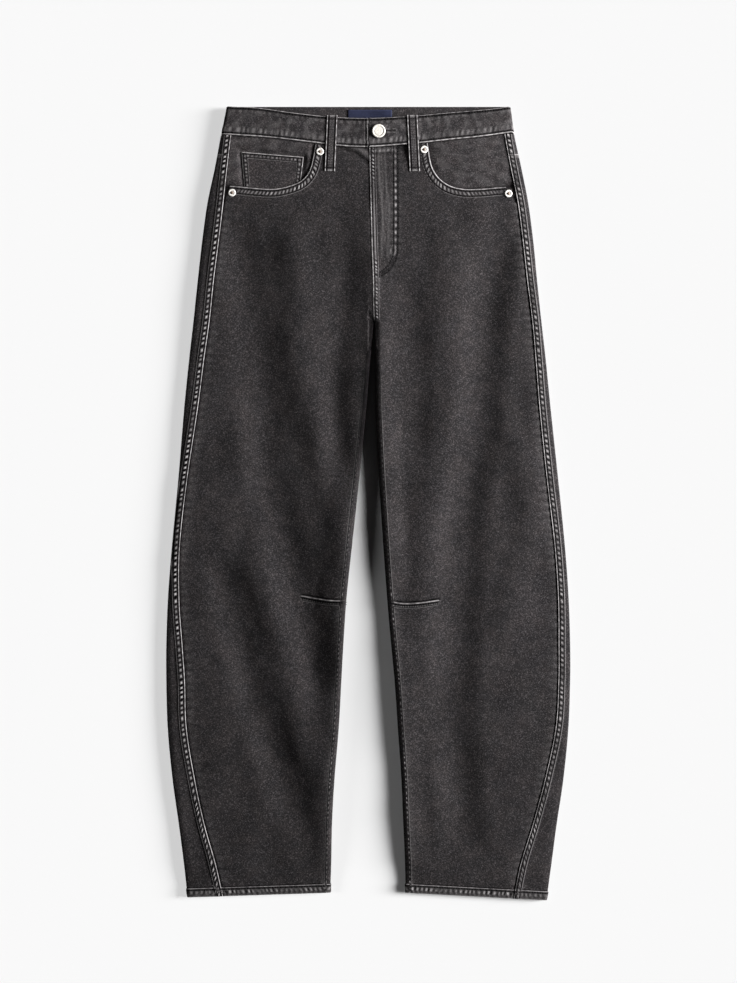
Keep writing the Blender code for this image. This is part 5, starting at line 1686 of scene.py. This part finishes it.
# The studio. The key and fill light the garment. The washes light the floor: each is a share of the floor's
# brightness, a direction it comes from, its height and its spread, in degrees, and the side whose pieces
# throw its shadow, or both.
PIXEL = 0.00125
PICTURE_HEIGHT = 983
SENSOR = 36.0
CAMERA_DISTANCE = 2.90
CAMERA_PLACE = (0.0, 0.0149, CAMERA_DISTANCE + 0.006)
AIR_STRENGTH = 0.006
KEY_POWER = 172.0
KEY_PLACE = (2.0, 0.60, 0.76)
FILL_POWER = 9.8
FILL_PLACE = (0.0, 0.0, 2.5)
FLOOR_TONE = 0.85
FLOOR_BRIGHTNESS = 0.948
FLOOR_HALF = 60.0
FLOOR_DROP = 0.0004
Wash = namedtuple("Wash", "name share turn height spread side")
WASHES = [
    Wash("wash_both", 0.35, 5.0, 16.0, 20.0, None),
    Wash("wash_left", 0.57, 5.0, 18.5, 25.0, "left"),
    Wash("wash_back", 0.08, 180.0, 19.0, 14.0, "right"),
]


def add_light(name, kind, place, aim, power, **looks):
    lamp = bpy.data.lights.new(name, kind)
    for title, value in looks.items():
        setattr(lamp, title, value)
    lamp.energy = power
    light = bpy.data.objects.new(name, lamp)
    bpy.context.scene.collection.objects.link(light)
    light.location = place
    light.rotation_euler = Vector(aim).to_track_quat("-Z", "Y").to_euler()
    return light


def add_wash(wash):
    low, turn = math.radians(wash.height), math.radians(wash.turn)
    aim = -Vector((math.cos(low) * math.cos(turn), math.cos(low) * math.sin(turn), math.sin(low)))
    wanted = wash.share * (FLOOR_BRIGHTNESS - AIR_STRENGTH * FLOOR_TONE)
    power = wanted * math.pi / FLOOR_TONE / math.sin(low)
    return add_light(wash.name, "SUN", (0, 0, 0), aim, power, angle=math.radians(wash.spread)), wash.side


def set_studio():
    scene = bpy.context.scene
    scene.view_settings.view_transform = "Standard"
    lens = bpy.data.cameras.new("studio_camera")
    lens.sensor_fit = "VERTICAL"
    lens.sensor_height = SENSOR
    lens.lens = SENSOR * CAMERA_DISTANCE / (PICTURE_HEIGHT * PIXEL)
    camera = bpy.data.objects.new("studio_camera", lens)
    scene.collection.objects.link(camera)
    camera.location = CAMERA_PLACE
    scene.camera = camera

    world = bpy.data.worlds.new("studio_air")
    scene.world = world
    world.use_nodes = True
    air = world.node_tree.nodes["Background"].inputs
    air["Color"].default_value = (1.0, 1.0, 1.0, 1)
    air["Strength"].default_value = AIR_STRENGTH

    key = add_light("key_softbox", "AREA", KEY_PLACE, -Vector(KEY_PLACE), KEY_POWER, shape="RECTANGLE",
                    size=1.2, size_y=0.8)
    fill = add_light("fill_softbox", "AREA", FILL_PLACE, (0, 0, -1), FILL_POWER, shape="SQUARE", size=3.0)
    washes = [add_wash(wash) for wash in WASHES]

    floor = new_material("pale_floor", 1.0, specular=0.0)
    shader_of(floor).inputs["Base Color"].default_value = (FLOOR_TONE, FLOOR_TONE, FLOOR_TONE, 1)
    builder = bmesh.new()
    bmesh.ops.create_grid(builder, x_segments=1, y_segments=1, size=FLOOR_HALF)
    mesh = mesh_of(builder, "studio_floor")
    mesh.materials.append(floor)
    plane = bpy.data.objects.new("studio_floor", mesh)
    scene.collection.objects.link(plane)
    plane.location.z = -FLOOR_DROP
    plane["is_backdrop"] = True
    return (key, fill), washes, plane


def group_of(name, members):
    group = bpy.data.collections.new(name)
    for member in members:
        group.objects.link(member)
    return group


def share_lights(garment_lights, washes, plane):
    """The key and fill light the garment, and the washes the floor, so that each can be set by itself."""
    floor_group = group_of("floor_group", [plane])
    garment_group = group_of("garment_group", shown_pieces())
    for light in garment_lights:
        light.light_linking.receiver_collection = garment_group
    for light, side in washes:
        light.light_linking.receiver_collection = floor_group
        if side:
            mine = [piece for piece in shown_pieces() if side in piece.name]
            light.light_linking.blocker_collection = group_of("shade_of_" + side, mine)


def make_garment():
    panels = denim("washed_black_denim", (0.0062, 0.0057, 0.0059), (0.083, 0.0745, 0.0765))
    hidden = denim("pocket_denim", (0.009, 0.0082, 0.0085), (0.104, 0.092, 0.094))
    band = denim("waistband_denim", (0.010, 0.009, 0.0095), (0.098, 0.088, 0.090))
    yarn = thread("black_thread", (0.0065, 0.006, 0.0065))
    button_metal = cast_metal("pale_button_metal", (0.72, 0.67, 0.60), (0.88, 0.85, 0.80), (0.7, 0.6, 0.5),
                              0.45)
    rivet_metal = cast_metal("pale_rivet_metal", (0.78, 0.74, 0.69), (0.93, 0.91, 0.88), (0.16, 0.11, 0.08),
                             0.40)
    for side in SIDES:
        make_front(side, panels)
        make_back(side, panels)
        make_yoke(side, panels)
        make_facing(side, hidden)
        make_back_pocket(side, panels)
        make_front_loop(side, band)
    make_coin_pocket(hidden)
    make_waistband(band)
    for name, middle in BACK_LOOPS.items():
        make_back_loop(name, middle, band)
    make_label(woven_label("navy_woven_label"))
    make_button(button_metal)
    make_rivets(rivet_metal)
    sew_legs(yarn)
    sew_hips(yarn)
    sew_band(yarn)
    sew_coin_pocket(yarn)
    sew_back(yarn)


studio = set_studio()
make_garment()
share_lights(*studio)
